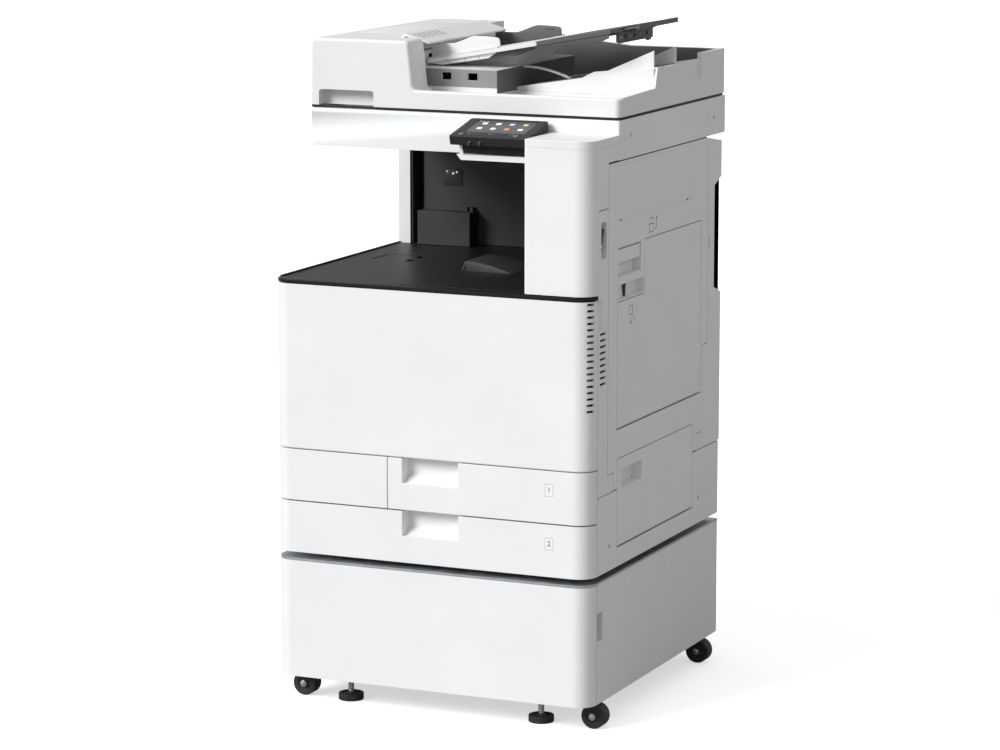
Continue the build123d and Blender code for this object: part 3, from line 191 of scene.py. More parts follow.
def arc(centre, radius, start, end, steps):
    """Points along an arc, in degrees, in the plane of an outline."""
    angles = [math.radians(start + (end - start) * i / steps) for i in range(steps + 1)]
    return [(centre[0] + radius * math.cos(a), centre[1] + radius * math.sin(a)) for a in angles]


def rounded_outline(u0, u1, v0, v1, radius, steps=5):
    """A rectangle with four round corners."""
    return (arc((u1 - radius, v0 + radius), radius, -90, 0, steps)
            + arc((u1 - radius, v1 - radius), radius, 0, 90, steps)
            + arc((u0 + radius, v1 - radius), radius, 90, 180, steps)
            + arc((u0 + radius, v0 + radius), radius, 180, 270, steps))


def turned(piece, pivot, degrees, axis):
    """Turn a piece's mesh about a point given in the cabinet's millimetres."""
    place = Matrix.Translation(spot(*pivot))
    piece.data.transform(place @ Matrix.Rotation(math.radians(degrees), 4, axis) @ place.inverted())
    return piece


def joined(pieces, name):
    """Several pieces as one object with one mesh."""
    clear_selection()
    for piece in pieces:
        piece.select_set(True)
    bpy.context.view_layer.objects.active = pieces[0]
    if len(pieces) > 1:
        bpy.ops.object.join()
    pieces[0].name = name
    pieces[0].data.name = name
    return pieces[0]


def fitted(piece, body, finish):
    """Give a piece its one material and its body."""
    piece.data.materials.clear()
    piece.data.materials.append(finish)
    for face in piece.data.polygons:
        face.material_index = 0
    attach(piece, body)
    return piece


def body_of(node):
    return frame["nodes"][node]["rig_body"]


# ---- Sizes and colours that a user may change --------------------------------------------------------------
def colour(name, description, value):
    return FloatVectorProperty(name=name, description=description, default=value, size=3, min=0, max=1,
                               subtype="COLOR")


class CopierColours(PropertyGroup):
    cover: colour("Cover", "Moulded outer covers", (0.84, 0.845, 0.85))
    feeder: colour("Feeder", "Document feeder housing", (0.80, 0.805, 0.81))
    charcoal: colour("Charcoal", "Inner walls of the delivery area", (0.035, 0.035, 0.037))
    tray: colour("Tray", "Delivery tray", (0.012, 0.012, 0.013))
    # This dark grey is also laid on the rear paper guide, where it is painted shade.
    feeder_grey: colour("Feeder grey", "Dark grey document tray and guide", (0.10, 0.10, 0.104))
    panel: colour("Panel", "Control panel housing", (0.022, 0.022, 0.024))
    steel: colour("Steel", "Zinc-plated sheet and bolts", (0.62, 0.64, 0.66))
    rubber: colour("Rubber", "Caster tyres and foot pads", (0.018, 0.018, 0.019))


class CopierSizes(PropertyGroup):
    cover_edge: FloatProperty(name="Cover edge", description="Rounding of the cover edges", default=0.0007,
                              min=0.0001, max=0.002, unit="LENGTH")
    tyre_shoulder: FloatProperty(name="Tyre shoulder", description="Rounding of a caster tyre's shoulders",
                                 default=0.0035, min=0.0005, max=0.006, unit="LENGTH")
    label_line: FloatProperty(name="Label line", description="Width of the line round a drawer number",
                              default=0.0005, min=0.0002, max=0.002, unit="LENGTH")
    icon: FloatProperty(name="Icon", description="Width of a touch-screen icon", default=0.0085,
                        min=0.003, max=0.015, unit="LENGTH")
    lever_ribs: IntProperty(name="Lever ribs", description="Cross ribs of the stopper lever", default=7,
                            min=3, max=12)


def colours():
    return bpy.context.scene.copier_colours


def sizes():
    return bpy.context.scene.copier_sizes


# ---- Finishes ----------------------------------------------------------------------------------------------
MADE = {}


def shader(name):
    """A new material with its Principled shader and an object-coordinate source."""
    material = bpy.data.materials.new(name)
    material.use_nodes = True
    tree = material.node_tree
    coords = tree.nodes.new("ShaderNodeTexCoord")
    return material, tree, tree.nodes["Principled BSDF"], coords.outputs["Object"]


def noise(tree, source, scale, detail=2.0):
    node = tree.nodes.new("ShaderNodeTexNoise")
    node.inputs["Scale"].default_value = scale
    node.inputs["Detail"].default_value = detail
    tree.links.new(source, node.inputs["Vector"])
    return node.outputs["Fac"]


def spread(tree, value, low, high):
    """Map a texture's middle range to a range of numbers."""
    node = tree.nodes.new("ShaderNodeMapRange")
    node.inputs["From Min"].default_value = 0.3
    node.inputs["From Max"].default_value = 0.7
    node.inputs["To Min"].default_value = low
    node.inputs["To Max"].default_value = high
    tree.links.new(value, node.inputs["Value"])
    return node.outputs["Result"]


def shades(tree, value, dark, light):
    """Turn a texture into a colour between two shades."""
    node = tree.nodes.new("ShaderNodeValToRGB")
    node.color_ramp.elements[0].position = 0.3
    node.color_ramp.elements[0].color = (*dark, 1)
    node.color_ramp.elements[1].position = 0.7
    node.color_ramp.elements[1].color = (*light, 1)
    tree.links.new(value, node.inputs["Fac"])
    return node.outputs["Color"]


def relief(tree, bsdf, value, strength, depth):
    node = tree.nodes.new("ShaderNodeBump")
    node.inputs["Strength"].default_value = strength
    node.inputs["Distance"].default_value = depth
    tree.links.new(value, node.inputs["Height"])
    tree.links.new(node.outputs["Normal"], bsdf.inputs["Normal"])


def scaled(base, factor):
    return tuple(min(1.0, c * factor) for c in base)


def moulded(name, base, rough=0.42, grain=1400.0, depth=0.00004, mottle=0.02, strength=0.25, shine=0.45):
    """Moulded plastic: fine spark-eroded grain, slight cloudiness of colour and gloss."""
    material, tree, bsdf, coords = shader(name)
    cloud = noise(tree, coords, 9.0, 3.0)
    colour_out = shades(tree, cloud, scaled(base, 1 - mottle), scaled(base, 1 + mottle))
    tree.links.new(colour_out, bsdf.inputs["Base Color"])
    fine = noise(tree, coords, grain, 1.0)
    tree.links.new(spread(tree, fine, rough - 0.05, rough + 0.06), bsdf.inputs["Roughness"])
    relief(tree, bsdf, fine, strength, depth)
    bsdf.inputs["Specular IOR Level"].default_value = shine
    return material


def metal(name, base, rough=0.32, brushed=(40.0, 40.0, 900.0)):
    """Plated or drawn metal: fine lines one way and cloudy plating."""
    material, tree, bsdf, coords = shader(name)
    mapping = tree.nodes.new("ShaderNodeMapping")
    mapping.inputs["Scale"].default_value = brushed
    tree.links.new(coords, mapping.inputs["Vector"])
    lines = noise(tree, mapping.outputs["Vector"], 1.0, 3.0)
    cloud = noise(tree, coords, 60.0, 3.0)
    tree.links.new(shades(tree, cloud, scaled(base, 0.9), scaled(base, 1.06)), bsdf.inputs["Base Color"])
    tree.links.new(spread(tree, lines, rough - 0.07, rough + 0.1), bsdf.inputs["Roughness"])
    relief(tree, bsdf, lines, 0.12, 0.00003)
    bsdf.inputs["Metallic"].default_value = 0.9
    return material


def rubber(name, base):
    """Dark rubber with a dusty, finely pitted surface."""
    material, tree, bsdf, coords = shader(name)
    dust = noise(tree, coords, 130.0, 4.0)
    tree.links.new(shades(tree, dust, scaled(base, 0.75), scaled(base, 1.7)), bsdf.inputs["Base Color"])
    pits = noise(tree, coords, 1100.0, 2.0)
    tree.links.new(spread(tree, pits, 0.55, 0.75), bsdf.inputs["Roughness"])
    relief(tree, bsdf, pits, 0.35, 0.00008)
    bsdf.inputs["Sheen Weight"].default_value = 0.08
    return material


def display_glass(name):
    """Dark touch glass with a thin clear coat and faint finger smears."""
    material, tree, bsdf, coords = shader(name)
    smear = noise(tree, coords, 28.0, 5.0)
    glow = shades(tree, smear, (0.020, 0.021, 0.023), (0.034, 0.035, 0.038))
    tree.links.new(glow, bsdf.inputs["Base Color"])
    tree.links.new(spread(tree, smear, 0.12, 0.26), bsdf.inputs["Roughness"])
    bsdf.inputs["Specular IOR Level"].default_value = 0.2
    bsdf.inputs["Coat Weight"].default_value = 0.15
    bsdf.inputs["Coat Roughness"].default_value = 0.06
    return material


def clear_glass(name):
    material, tree, bsdf, coords = shader(name)
    haze = noise(tree, coords, 14.0, 4.0)
    tree.links.new(spread(tree, haze, 0.02, 0.07), bsdf.inputs["Roughness"])
    tree.links.new(shades(tree, haze, (0.78, 0.83, 0.82), (0.83, 0.87, 0.86)), bsdf.inputs["Base Color"])
    bsdf.inputs["Transmission Weight"].default_value = 0.85
    bsdf.inputs["IOR"].default_value = 1.5
    return material


def lit(name, base, glow):
    """A lit icon or lamp, a little uneven across its face."""
    material, tree, bsdf, coords = shader(name)
    cloud = noise(tree, coords, 300.0, 2.0)
    out = shades(tree, cloud, scaled(base, 0.8), base)
    tree.links.new(out, bsdf.inputs["Base Color"])
    tree.links.new(out, bsdf.inputs["Emission Color"])
    bsdf.inputs["Emission Strength"].default_value = glow
    bsdf.inputs["Roughness"].default_value = 0.3
    return material


def finish_makers():
    """One maker for each finish of the machine, by the record's slot or this script's own name."""
    c = colours()
    return {
        "white_cover": lambda n: moulded(n, tuple(c.cover), 0.46),
        "white_feeder": lambda n: moulded(n, tuple(c.feeder), 0.5, depth=0.00005),
        "black_tray": lambda n: moulded(n, tuple(c.tray), 0.42, 1100.0, 0.00005, 0.08, shine=0.22),
        "dark_inner": lambda n: moulded(n, tuple(c.charcoal), 0.55, 1000.0, 0.00006, 0.05),
        "dark_feeder": lambda n: moulded(n, tuple(c.feeder_grey), 0.45, 1000.0, 0.00005, 0.04),
        "panel_black": lambda n: moulded(n, tuple(c.panel), 0.45, 1300.0, 0.00004, 0.05, shine=0.2),
        "screen": display_glass,
        "key_plastic": lambda n: moulded(n, (0.16, 0.16, 0.17), 0.35),
        "bin_grey": lambda n: moulded(n, (0.42, 0.43, 0.44), 0.5),
        "frame_steel": lambda n: metal(n, tuple(c.steel), 0.4),
        "pin_steel": lambda n: metal(n, tuple(c.steel), 0.22, (30.0, 30.0, 30.0)),
        "fork_steel": lambda n: metal(n, scaled(tuple(c.steel), 1.12), 0.36, (300.0, 60.0, 60.0)),
        "tyre_black": lambda n: rubber(n, tuple(c.rubber)),
        "foot_black": lambda n: rubber(n, scaled(tuple(c.rubber), 0.9)),
        "clear_glass": clear_glass,
        "toner_plastic": lambda n: moulded(n, (0.30, 0.31, 0.33), 0.42),
        "drum_green": lambda n: moulded(n, (0.03, 0.16, 0.13), 0.3, mottle=0.08),
        "belt_film": lambda n: moulded(n, (0.03, 0.028, 0.026), 0.18, 500.0, 0.00002, 0.1),
        "unit_black": lambda n: moulded(n, (0.05, 0.05, 0.055), 0.5),
        "board_metal": lambda n: metal(n, (0.55, 0.56, 0.55), 0.45),
        "inlet_black": lambda n: moulded(n, (0.02, 0.02, 0.022), 0.4),
        "label_white": lambda n: moulded(n, (0.88, 0.88, 0.88), 0.35, 2500.0, 0.00001, 0.01),
        "print_grey": lambda n: moulded(n, (0.20, 0.20, 0.21), 0.6, 3000.0, 0.00001, 0.1),
        "print_black": lambda n: moulded(n, (0.03, 0.03, 0.032), 0.6, 3000.0, 0.00001, 0.1),
        "well_grey": lambda n: moulded(n, (0.11, 0.11, 0.113), 0.55),
        "well_mid": lambda n: moulded(n, (0.27, 0.27, 0.275), 0.55),
        "seal_black": lambda n: rubber(n, (0.008, 0.008, 0.008)),
        "cyan_cap": lambda n: moulded(n, (0.02, 0.35, 0.62), 0.35),
        "magenta_cap": lambda n: moulded(n, (0.62, 0.03, 0.28), 0.35),
        "yellow_cap": lambda n: moulded(n, (0.85, 0.66, 0.04), 0.35),
        "black_cap": lambda n: moulded(n, (0.03, 0.03, 0.03), 0.35),
        "green_grip": lambda n: moulded(n, (0.05, 0.38, 0.24), 0.4),
        "icon_white": lambda n: lit(n, (0.92, 0.93, 0.94), 0.55),
        "icon_teal": lambda n: lit(n, (0.50, 0.78, 0.70), 0.35),
        "icon_olive": lambda n: lit(n, (0.62, 0.66, 0.24), 0.35),
        "icon_orange": lambda n: lit(n, (0.80, 0.27, 0.12), 0.4),
        "mark_grey": lambda n: lit(n, (0.30, 0.30, 0.31), 0.08),
        "mark_orange": lambda n: lit(n, (0.55, 0.22, 0.10), 0.15),
    }


def finish(name):
    """The material of a finish, made once."""
    if name not in MADE:
        MADE[name] = finish_makers()[name](name)
    return MADE[name]


# ---- Covers ------------------------------------------------------------------------------------------------
SOFT_NODES = {
    "pedestal_panels": 1.0, "pedestal_door": 1.0, "drawer_1_front": 1.0, "drawer_2_front": 1.0,
    "blank_panel": 1.0, "front_cover": 1.0, "tower_cover": 1.2, "side_strip": 1.0, "left_cover": 1.0,
    "right_lower_cover": 1.0, "right_rear_cover": 1.0, "right_door": 1.0, "bypass_tray": 1.2,
    "lower_right_door": 1.2, "rear_cover": 1.0, "scanner_housing": 1.2, "feeder_base": 1.2,
    "feeder_cover": 1.2, "document_table": 1.0, "document_tray": 0.8, "tray_extension": 0.6,
    "delivery_tray": 0.8, "stopper_flap": 0.4, "cavity_wall": 0.8, "control_panel": 1.2, "latch_lever": 0.8,
    "power_switch": 0.6, "home_key": 0.3, "start_key": 0.3, "power_inlet": 0.5, "feeder_hinges": 0.5,
    "caster_fork_front_right": 0.6, "caster_fork_front_left": 0.6, "caster_fork_rear_right": 0.6,
    "caster_fork_rear_left": 0.6, "screws": 0.25,
}


def soft_copy(node, edge):
    """A CAD node's shape as a new piece with merged faces and softly rounded edges."""
    source = frame["nodes"][node]
    piece = bpy.data.objects.new(node + ".soft", source.data.copy())
    bpy.context.scene.collection.objects.link(piece)
    with editing(piece):
        bpy.ops.mesh.select_all(action="SELECT")
        bpy.ops.mesh.remove_doubles(threshold=0.000002)
        bpy.ops.mesh.select_all(action="SELECT")
        bpy.ops.mesh.dissolve_limited(angle_limit=math.radians(0.6))
    soften(piece, edge, 2, 38.0)
    even = piece.modifiers.new("Even shading", "WEIGHTED_NORMAL")
    even.keep_sharp = True
    even.weight = 100
    bpy.ops.object.modifier_apply(modifier=even.name)
    fitted(piece, body_of(node), finish(NODE_SLOT[node]))
    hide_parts(node)
    return piece


class COPIER_OT_covers(Operator):
    """Make the covers, panels and trays with softly rounded edges."""
    bl_idname = "copier.covers"
    bl_label = "Covers and panels"

    def execute(self, context):
        scale = sizes().cover_edge / MM
        for node, share in SOFT_NODES.items():
            soft_copy(node, share * scale)
        return {"FINISHED"}


class COPIER_OT_finishes(Operator):
    """Give every node that keeps its own shape its finish."""
    bl_idname = "copier.finishes"
    bl_label = "Inner units and frame"

    def execute(self, context):
        for node, item in frame["nodes"].items():
            for place in item.material_slots:
                place.material = finish(NODE_SLOT[node])
            if not item.material_slots:
                item.data.materials.append(finish(NODE_SLOT[node]))
        return {"FINISHED"}


# ---- Drawer numbers ----------------------------------------------------------------------------------------
LABEL_X = (205.0, 219.0)
LABEL_H = 20.0
LABEL_DROP = 41.0


def number_label(node, number, z0):
    """A white plate with a thin line round it and the drawer's number."""
    x0, x1 = LABEL_X
    body = body_of(node)
    line = sizes().label_line / MM
    border = new_plate(f"{node}.label_line", rounded_outline(x0, x1, z0, z0 + LABEL_H, 1.2), "Y", -0.06, 0.6)
    with editing(border):
        select_faces(border, lambda centre, normal: normal.y < -0.9)
        bpy.ops.mesh.inset(thickness=line * MM, depth=0)
        bpy.ops.mesh.delete(type="FACE")
    fitted(border, body, finish("print_grey"))
    inner = rounded_outline(x0 + line, x1 - line, z0 + line, z0 + LABEL_H - line, 0.9)
    plate = new_plate(f"{node}.label", inner, "Y", -0.05, 0.5)
    fitted(plate, body, finish("label_white"))
    clear_selection()
    bpy.ops.object.text_add()
    text = bpy.context.object
    text.data.body = str(number)
    text.data.size = 0.0125
    text.data.align_x = "CENTER"
    text.data.align_y = "CENTER"
    text.data.extrude = 0.00004
    bpy.ops.object.convert(target="MESH")
    digit = bpy.context.object
    digit.data.transform(Matrix.Translation(spot((x0 + x1) / 2, -0.07, z0 + LABEL_H / 2))
                         @ Matrix.Rotation(math.radians(90), 4, "X"))
    settle(digit, f"{node}.number")
    fitted(digit, body, finish("print_black"))


class COPIER_OT_drawer_numbers(Operator):
    """Put the number plates on the two paper drawers."""
    bl_idname = "copier.drawer_numbers"
    bl_label = "Drawer numbers"

    def execute(self, context):
        for number in (1, 2):
            node = f"drawer_{number}_front"
            _, high = span(node)
            number_label(node, number, high.z - LABEL_DROP)
        return {"FINISHED"}


# ---- Control panel -----------------------------------------------------------------------------------------
ICONS = [
    ["icon_white", "icon_white", "icon_orange", "icon_white"],
    ["icon_white", "icon_white", "icon_teal", "icon_olive"],
]


def panel_frame():
    """The panel's front edge at its face, and the face's tilt, from the touch screen's corners."""
    low, high = span("touch_screen")
    depth = high.y - low.y
    thickness = 2.7
    tilt = math.atan2(20.5, 92.0)
    length = (depth - thickness * math.sin(tilt)) / math.cos(tilt)
    front = (low.y, low.z + thickness * math.cos(tilt))
    return low.x, high.x, front, tilt, length


def on_face(name, u0, u1, v0, v1, lift, depth, radius):
    """A thin rounded plate on the panel's sloping face; v runs up the slope from the screen's front edge."""
    x0, _, (y, z), tilt, _ = panel_frame()
    outline = rounded_outline(x0 + u0, x0 + u1, y + v0, y + v1, radius)
    plate = new_plate(name, outline, "Z", z + lift - depth, z + lift)
    return turned(plate, (x0, y, z), math.degrees(tilt), "X")


class COPIER_OT_control_panel(Operator):
    """Set the icons, key marks and small lamps on the control panel."""
    bl_idname = "copier.control_panel"
    bl_label = "Control panel details"

    def execute(self, context):
        x0, x1, _, tilt, length = panel_frame()
        width = x1 - x0
        size = sizes().icon / MM
        for row, names in enumerate(ICONS):
            for column, name in enumerate(names):
                u = width * (0.16 + 0.23 * column)
                v = length * (0.36 + 0.42 * row)
                icon = on_face(f"icon_{row}_{column}", u - size / 2, u + size / 2, v - size / 2, v + size / 2,
                               0.12, 0.1, 1.6)
                fitted(icon, "control_panel", finish(name))
                caption = on_face(f"caption_{row}_{column}", u - size * 0.6, u + size * 0.6, v - size * 0.86,
                                  v - size * 0.74, 0.11, 0.08, 0.4)
                fitted(caption, "control_panel", finish("mark_grey"))
        bar = on_face("status_bar", 2, width - 2, length - 4.5, length - 1.2, 0.1, 0.08, 0.8)
        fitted(bar, "control_panel", finish("key_plastic"))
        for i, u in enumerate((4, 9, 16)):
            lamp = on_face(f"status_mark_{i}", u, u + 2.4, length - 3.7, length - 2.0, 0.16, 0.1, 0.5)
            fitted(lamp, "control_panel", finish("icon_white"))
        marks = [(8, 14, "mark_grey"), (18, 21, "mark_grey"), (44, 51, "mark_grey"), (53, 55, "mark_grey"),
                 (81, 84, "mark_grey"), (86, 90, "mark_orange"), (91.5, 94, "mark_grey")]
        for i, (u0, u1, name) in enumerate(marks):
            mark = on_face(f"key_mark_{i}", u0, u1, -8.2, -6.6, 0.38, 0.1, 0.6)
            fitted(mark, "control_panel", finish(name))
        for i, u in enumerate((62.0, 80.0)):
            low, _ = span("control_panel")
            outline = [(u, 943.5), (u + 1.1, 943.5), (u + 1.1, 949.2), (u + 4.6, 949.6), (u + 4.6, 950.6),
                       (u + 0.8, 950.6), (u, 949.6)]
            hook = new_plate(f"grip_mark_{i}", outline, "Y", low.y, low.y + 2.0)
            slope = math.degrees(tilt)
            fitted(turned(hook, (u, low.y + 3.3, 943.0), slope, "X"), "control_panel", finish("key_plastic"))
        return {"FINISHED"}


# ---- Delivery area -----------------------------------------------------------------------------------------
class COPIER_OT_delivery_area(Operator):
    """Fit the sensor plate, lamps, notch and tray markings of the delivery area."""
    bl_idname = "copier.delivery_area"
    bl_label = "Delivery area details"

    def execute(self, context):
        wall = 502.0
        rim = new_plate("sensor_rim", rounded_outline(-207, -168, 813, 844, 4), "Y", wall - 0.5, wall + 1)
        fitted(rim, "root", finish("seal_black"))
        plate = new_plate("sensor_plate", rounded_outline(-205, -170, 815, 842, 3), "Y", wall - 1.6, wall + 1)
        fitted(soften(plate, 0.7), "root", finish("dark_inner"))
        for i, (x, z, r) in enumerate(((-197, 838, 1.3), (-186, 835, 1.9), (-179, 837.4, 1.6))):
            lamp = new_rod(f"sensor_lamp_{i}", (x, wall - 2.6, z), (x, wall, z), r, 20)
            fitted(soften(lamp, 0.7, 3), "root", finish("icon_white"))
        notch = new_block("wall_notch", (-60, wall - 0.6, 846.5), (-44, wall + 0.5, 851.5))
        fitted(soften(notch, 0.5), "root", finish("seal_black"))
        z = 711.5
        flat_outline = [(-277, 9), (-41, 9), (-66, 25), (-277, 25)]
        flat = new_plate("tray_flush_part", flat_outline, "Z", z - 0.2, z + 0.55)
        fitted(soften(flat, 0.3), "root", finish("dark_inner"))
        ridge_outline = [(-68, 25), (164, 25), (164, 26.4), (-68, 26.4)]
        ridge = new_plate("tray_ridge", ridge_outline, "Z", z - 0.2, z + 0.6)
        fitted(soften(ridge, 0.3), "root", finish("black_tray"))
        edge_outline = [(-34.6, 712), (-27.8, 727.8), (-25.6, 727.6), (-32.6, 712)]
        edge = new_plate("landing_edge", edge_outline, "Y", 204, 301)
        fitted(soften(edge, 0.4), "root", finish("dark_feeder"))
        crown = [(-27, 727.4)] + [(-27 + 85 * t, 710.6 + 17.4 * (1 - t ** 1.9)) for t in
                                  [i / 12 for i in range(1, 13)]] + [(-27, 710.6)]
        fitted(soften(new_plate("landing_crown", crown, "Y", 204.6, 300.4), 0.5), "root",
               finish("dark_inner"))
        return {"FINISHED"}


# ---- Document feeder ---------------------------------------------------------------------------------------
TABLE_START = 1058.0
TABLE_RISE = math.tan(math.radians(10.2))
GUIDE_X = (-108.8, 15.8)


def table_z(x):
    """Height of the document table's upper face."""
    return TABLE_START + (x + 109) * TABLE_RISE


def under_table(*points):
    """Outline points given as (x, how far under the table's upper face)."""
    return [(x, table_z(x) - drop) for x, drop in points]


def guide(name, node, y0, y1, outline, holes, material):
    """An upright paper guide with a rounded outline, its foot and, on the rear one, three dark holes."""
    body = body_of(node)
    wall = soften(new_plate(name + "_wall", outline, "Y", y0, y1), 0.9, 3)
    low, high = span(node)
    foot_y = (low.y, high.y)
    x0, x1 = GUIDE_X
    foot_outline = [(x0, table_z(x0) + 0.5), (x1, table_z(x1) + 0.5), (x1, table_z(x1) + 2.2),
                    (x0, table_z(x0) + 2.2)]
    foot = soften(new_plate(name + "_foot", foot_outline, "Y", *foot_y), 0.5)
    piece = joined([wall, foot], node + ".shaped")
    fitted(piece, body, finish(material))
    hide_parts(node)
    for i, x in enumerate(holes):
        dot = new_rod(f"{name}_hole_{i}", (x, y0 - 0.12, 1091.5), (x, y0 + 1, 1091.5), 1.5, 20)
        fitted(soften(dot, 0.1), body, finish("seal_black"))


def stopper_lever():
    """Curved ladder arm: two thin rails joined by cross ribs, with a round boss at its pivot."""
    low, _ = span("stopper_lever")
    x, z = low.x + 2, 1045.0
    y0, y1 = 302.0, 312.0
    steps = 14
    line = [(x + 86 * t, z - 17 * t ** 1.7 + 1.5 * math.sin(math.pi * t)) for t in
            [i / steps for i in range(steps + 1)]]
    above = [(u, v + 1.3) for u, v in line]
    below = [(u, v - 1.3) for u, v in reversed(line)]
    parts = [new_plate("rail", above + below, "Y", y, y + 2) for y in (y0, y1 - 2)]
    ribs = sizes().lever_ribs
    for i in range(ribs):
        u, v = line[round((i + 0.5) * steps / ribs)]
        parts.append(new_block("rib", (u - 1.4, y0 + 1, v - 1.1), (u + 1.4, y1 - 1, v + 1.1)))
    tip_u, tip_v = line[-1]
    parts.append(new_rod("tip", (tip_u - 1, y0, tip_v), (tip_u - 1, y1, tip_v), 1.6, 20))
    parts.append(new_rod("boss", (x, 299, z), (x, 315, z), 2.4, 24))
    for part in parts:
        soften(part, 0.35)
    piece = joined(parts, "stopper_lever.shaped")
    fitted(piece, body_of("stopper_lever"), finish("label_white"))
    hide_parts("stopper_lever")


class COPIER_OT_feeder(Operator):
    """Shape the feeder's guides, lever and table brackets, and fit the lid slits and the well's painted-shade
    sheets.
    """
    bl_idname = "copier.feeder"
    bl_label = "Document feeder details"

    def execute(self, context):
        x0, x1 = GUIDE_X
        front = [(x0, table_z(x0) + 0.5), (x0, 1084)] + [
            (-80, 1084), (-68, 1084.4), (-58, 1087.6), (-46, 1092.4), (-38, 1095.8), (-30, 1097.6),
            (-14, 1097.6), (6, 1096.6), (12, 1095.6), (14.5, 1093), (x1, table_z(x1) + 0.5)]
        guide("front_guide", "front_guide", 249, 252, front, [], "white_feeder")
        # The rear guide is the front guide's twin, given the dark grey finish as painted shade.
        guide("rear_guide", "rear_guide", 508, 511, front, [-12, -6, 0], "dark_feeder")
        stopper_lever()
        self.lid()
        self.table()
        self.well()
        return {"FINISHED"}

    def lid(self):
        """Short dark slits by the lid's edge, and the small hook under its lip."""
        low, high = span("feeder_cover")
        edge, fall = high.x - 43, 13 / 43
        for i in range(6):
            y = 200 + 17 * i
            outline = [(edge + 5, y + 5), (edge + 7, y + 3), (edge + 27, y + 10), (edge + 26, y + 12.4)]
            slit = new_plate(f"lid_slit_{i}", outline, "Z", high.z - 1.2, high.z + 0.15)
            turned(slit, (edge, y, high.z), math.degrees(math.atan(fall)), "Y")
            fitted(slit, "feeder_cover", finish("seal_black"))
        hook = [(high.x - 5, high.z - 22), (high.x - 2.4, high.z - 22), (high.x - 1, high.z - 14),
                (high.x - 5, high.z - 14)]
        fitted(soften(new_plate("lid_hook", hook, "Y", 492, 498), 0.5), "feeder_cover", finish("key_plastic"))
        outline = rounded_outline(low.x + 25, edge - 30, low.y + 70, high.y - 90, 4)
        panel = new_plate("lid_panel", outline, "Z", high.z - 6.6, high.z - 5.75)
        fitted(soften(panel, 0.3), "feeder_cover", finish("white_feeder"))

    def table(self):
        """Bracket and ribs along the table's front flank and the fittings under the folding tray."""
        low, _ = span("document_table")
        y = low.y
        bracket = under_table((-106, 7.4), (-84, 13.5), (0, 15), (14, 7.4))
        fitted(soften(new_plate("table_bracket", bracket, "Y", y + 4, y + 7), 0.8), "feeder",
               finish("white_feeder"))
        for i, x in enumerate((-42, -17)):
            bottom, top = table_z(x) - 14, table_z(x) - 8
            line = [(x, bottom), (x + 0.8, bottom), (x + 0.8, top), (x, top)]
            mark = new_plate(f"bracket_line_{i}", line, "Y", y + 3.9, y + 4.5)
            fitted(mark, "feeder", finish("print_grey"))
        under = under_table((-4, 15.5), (40, 18), (72, 12), (72, 7.4), (-4, 7.4))
        fitted(soften(new_plate("table_underside", under, "Y", y + 10, y + 34), 1.5), "feeder",
               finish("dark_feeder"))
        rim = under_table((86, 7.6), (214, 7.6), (212, 14), (196, 18), (128, 13), (112, 9.5))
        fitted(soften(new_plate("tray_skirt", rim, "Y", y + 8, y + 11), 0.8), "document_tray",
               finish("dark_feeder"))
        face_z = table_z(215)
        end = [(210, table_z(210) - 7.2), (215.6, face_z - 7.2), (215.6, face_z - 26),
               (210, table_z(210) - 22)]
        fitted(soften(new_plate("tray_end", end, "Y", 276, 428), 1.2), "document_tray",
               finish("dark_feeder"))
        studs = ((284, 3, 4), (300, 9, 6), (322, 5, 6), (340, 10, 5), (366, 4, 5), (396, 8, 6))
        for i, (y0, w, h) in enumerate(studs):
            z = face_z - 16
            stud = new_block(f"tray_stud_{i}", (214.6, y0, z - h / 2), (216.3, y0 + w, z + h / 2))
            fitted(soften(stud, 0.4), "document_tray", finish("seal_black" if i % 2 else "bin_grey"))
        roller = new_rod("tray_roller", (213, 406, face_z - 26), (213, 418, face_z - 26), 3.4, 24)
        fitted(soften(roller, 0.8), "document_tray", finish("key_plastic"))

    def well(self):
        """Dark sheets of painted shade over the output well's walls and floor, left open round the two slots
        in its left wall.
        """
        left, right, slot_z0, slot_z1 = -110.5, 33.8, 1028.8, 1041.2
        front = [((left, 1018), (right, slot_z0)), ((left, slot_z0), (-66.2, slot_z1)),
                 ((-47.8, slot_z0), (-19.2, slot_z1)), ((-0.8, slot_z0), (right, slot_z1)),
                 ((left, slot_z1), (right, 1046.8))]
        # The mid grey front sheet is painted shade on the shadowed housing wall under the table.
        parts = [new_block("sheet", (a[0], 194.3, a[1]), (b[0], 195.4, b[1])) for a, b in front]
        fitted(joined(parts, "well_front_painted_shade"), "feeder", finish("well_mid"))
        # The darker side, rear and floor sheets are painted shade deeper in the well.
        side = new_block("well_side_painted_shade", (33.6, 195.4, 1009), (34.7, 519.6, 1046.8))
        fitted(side, "feeder", finish("well_grey"))
        rear_outline = [(-111, 1009), (-111, 1071), (25, 1071), (116, 1062), (273, 1062), (273, 1009)]
        rear = new_plate("well_rear_painted_shade", rear_outline, "Y", 575.8, 577.2)
        fitted(rear, "feeder", finish("well_grey"))
        rise = (1053 - 1009.6) / (277.5 - 8)
        near, far = 1009.6 + 27 * rise, 1009.6 + 264 * rise
        bed = [(35, near + 0.05), (272, far + 0.05), (272, far + 0.9), (35, near + 0.9)]
        bed = new_plate("well_bed_painted_shade", bed, "Y", 291, 383.5)
        fitted(bed, "feeder", finish("well_grey"))


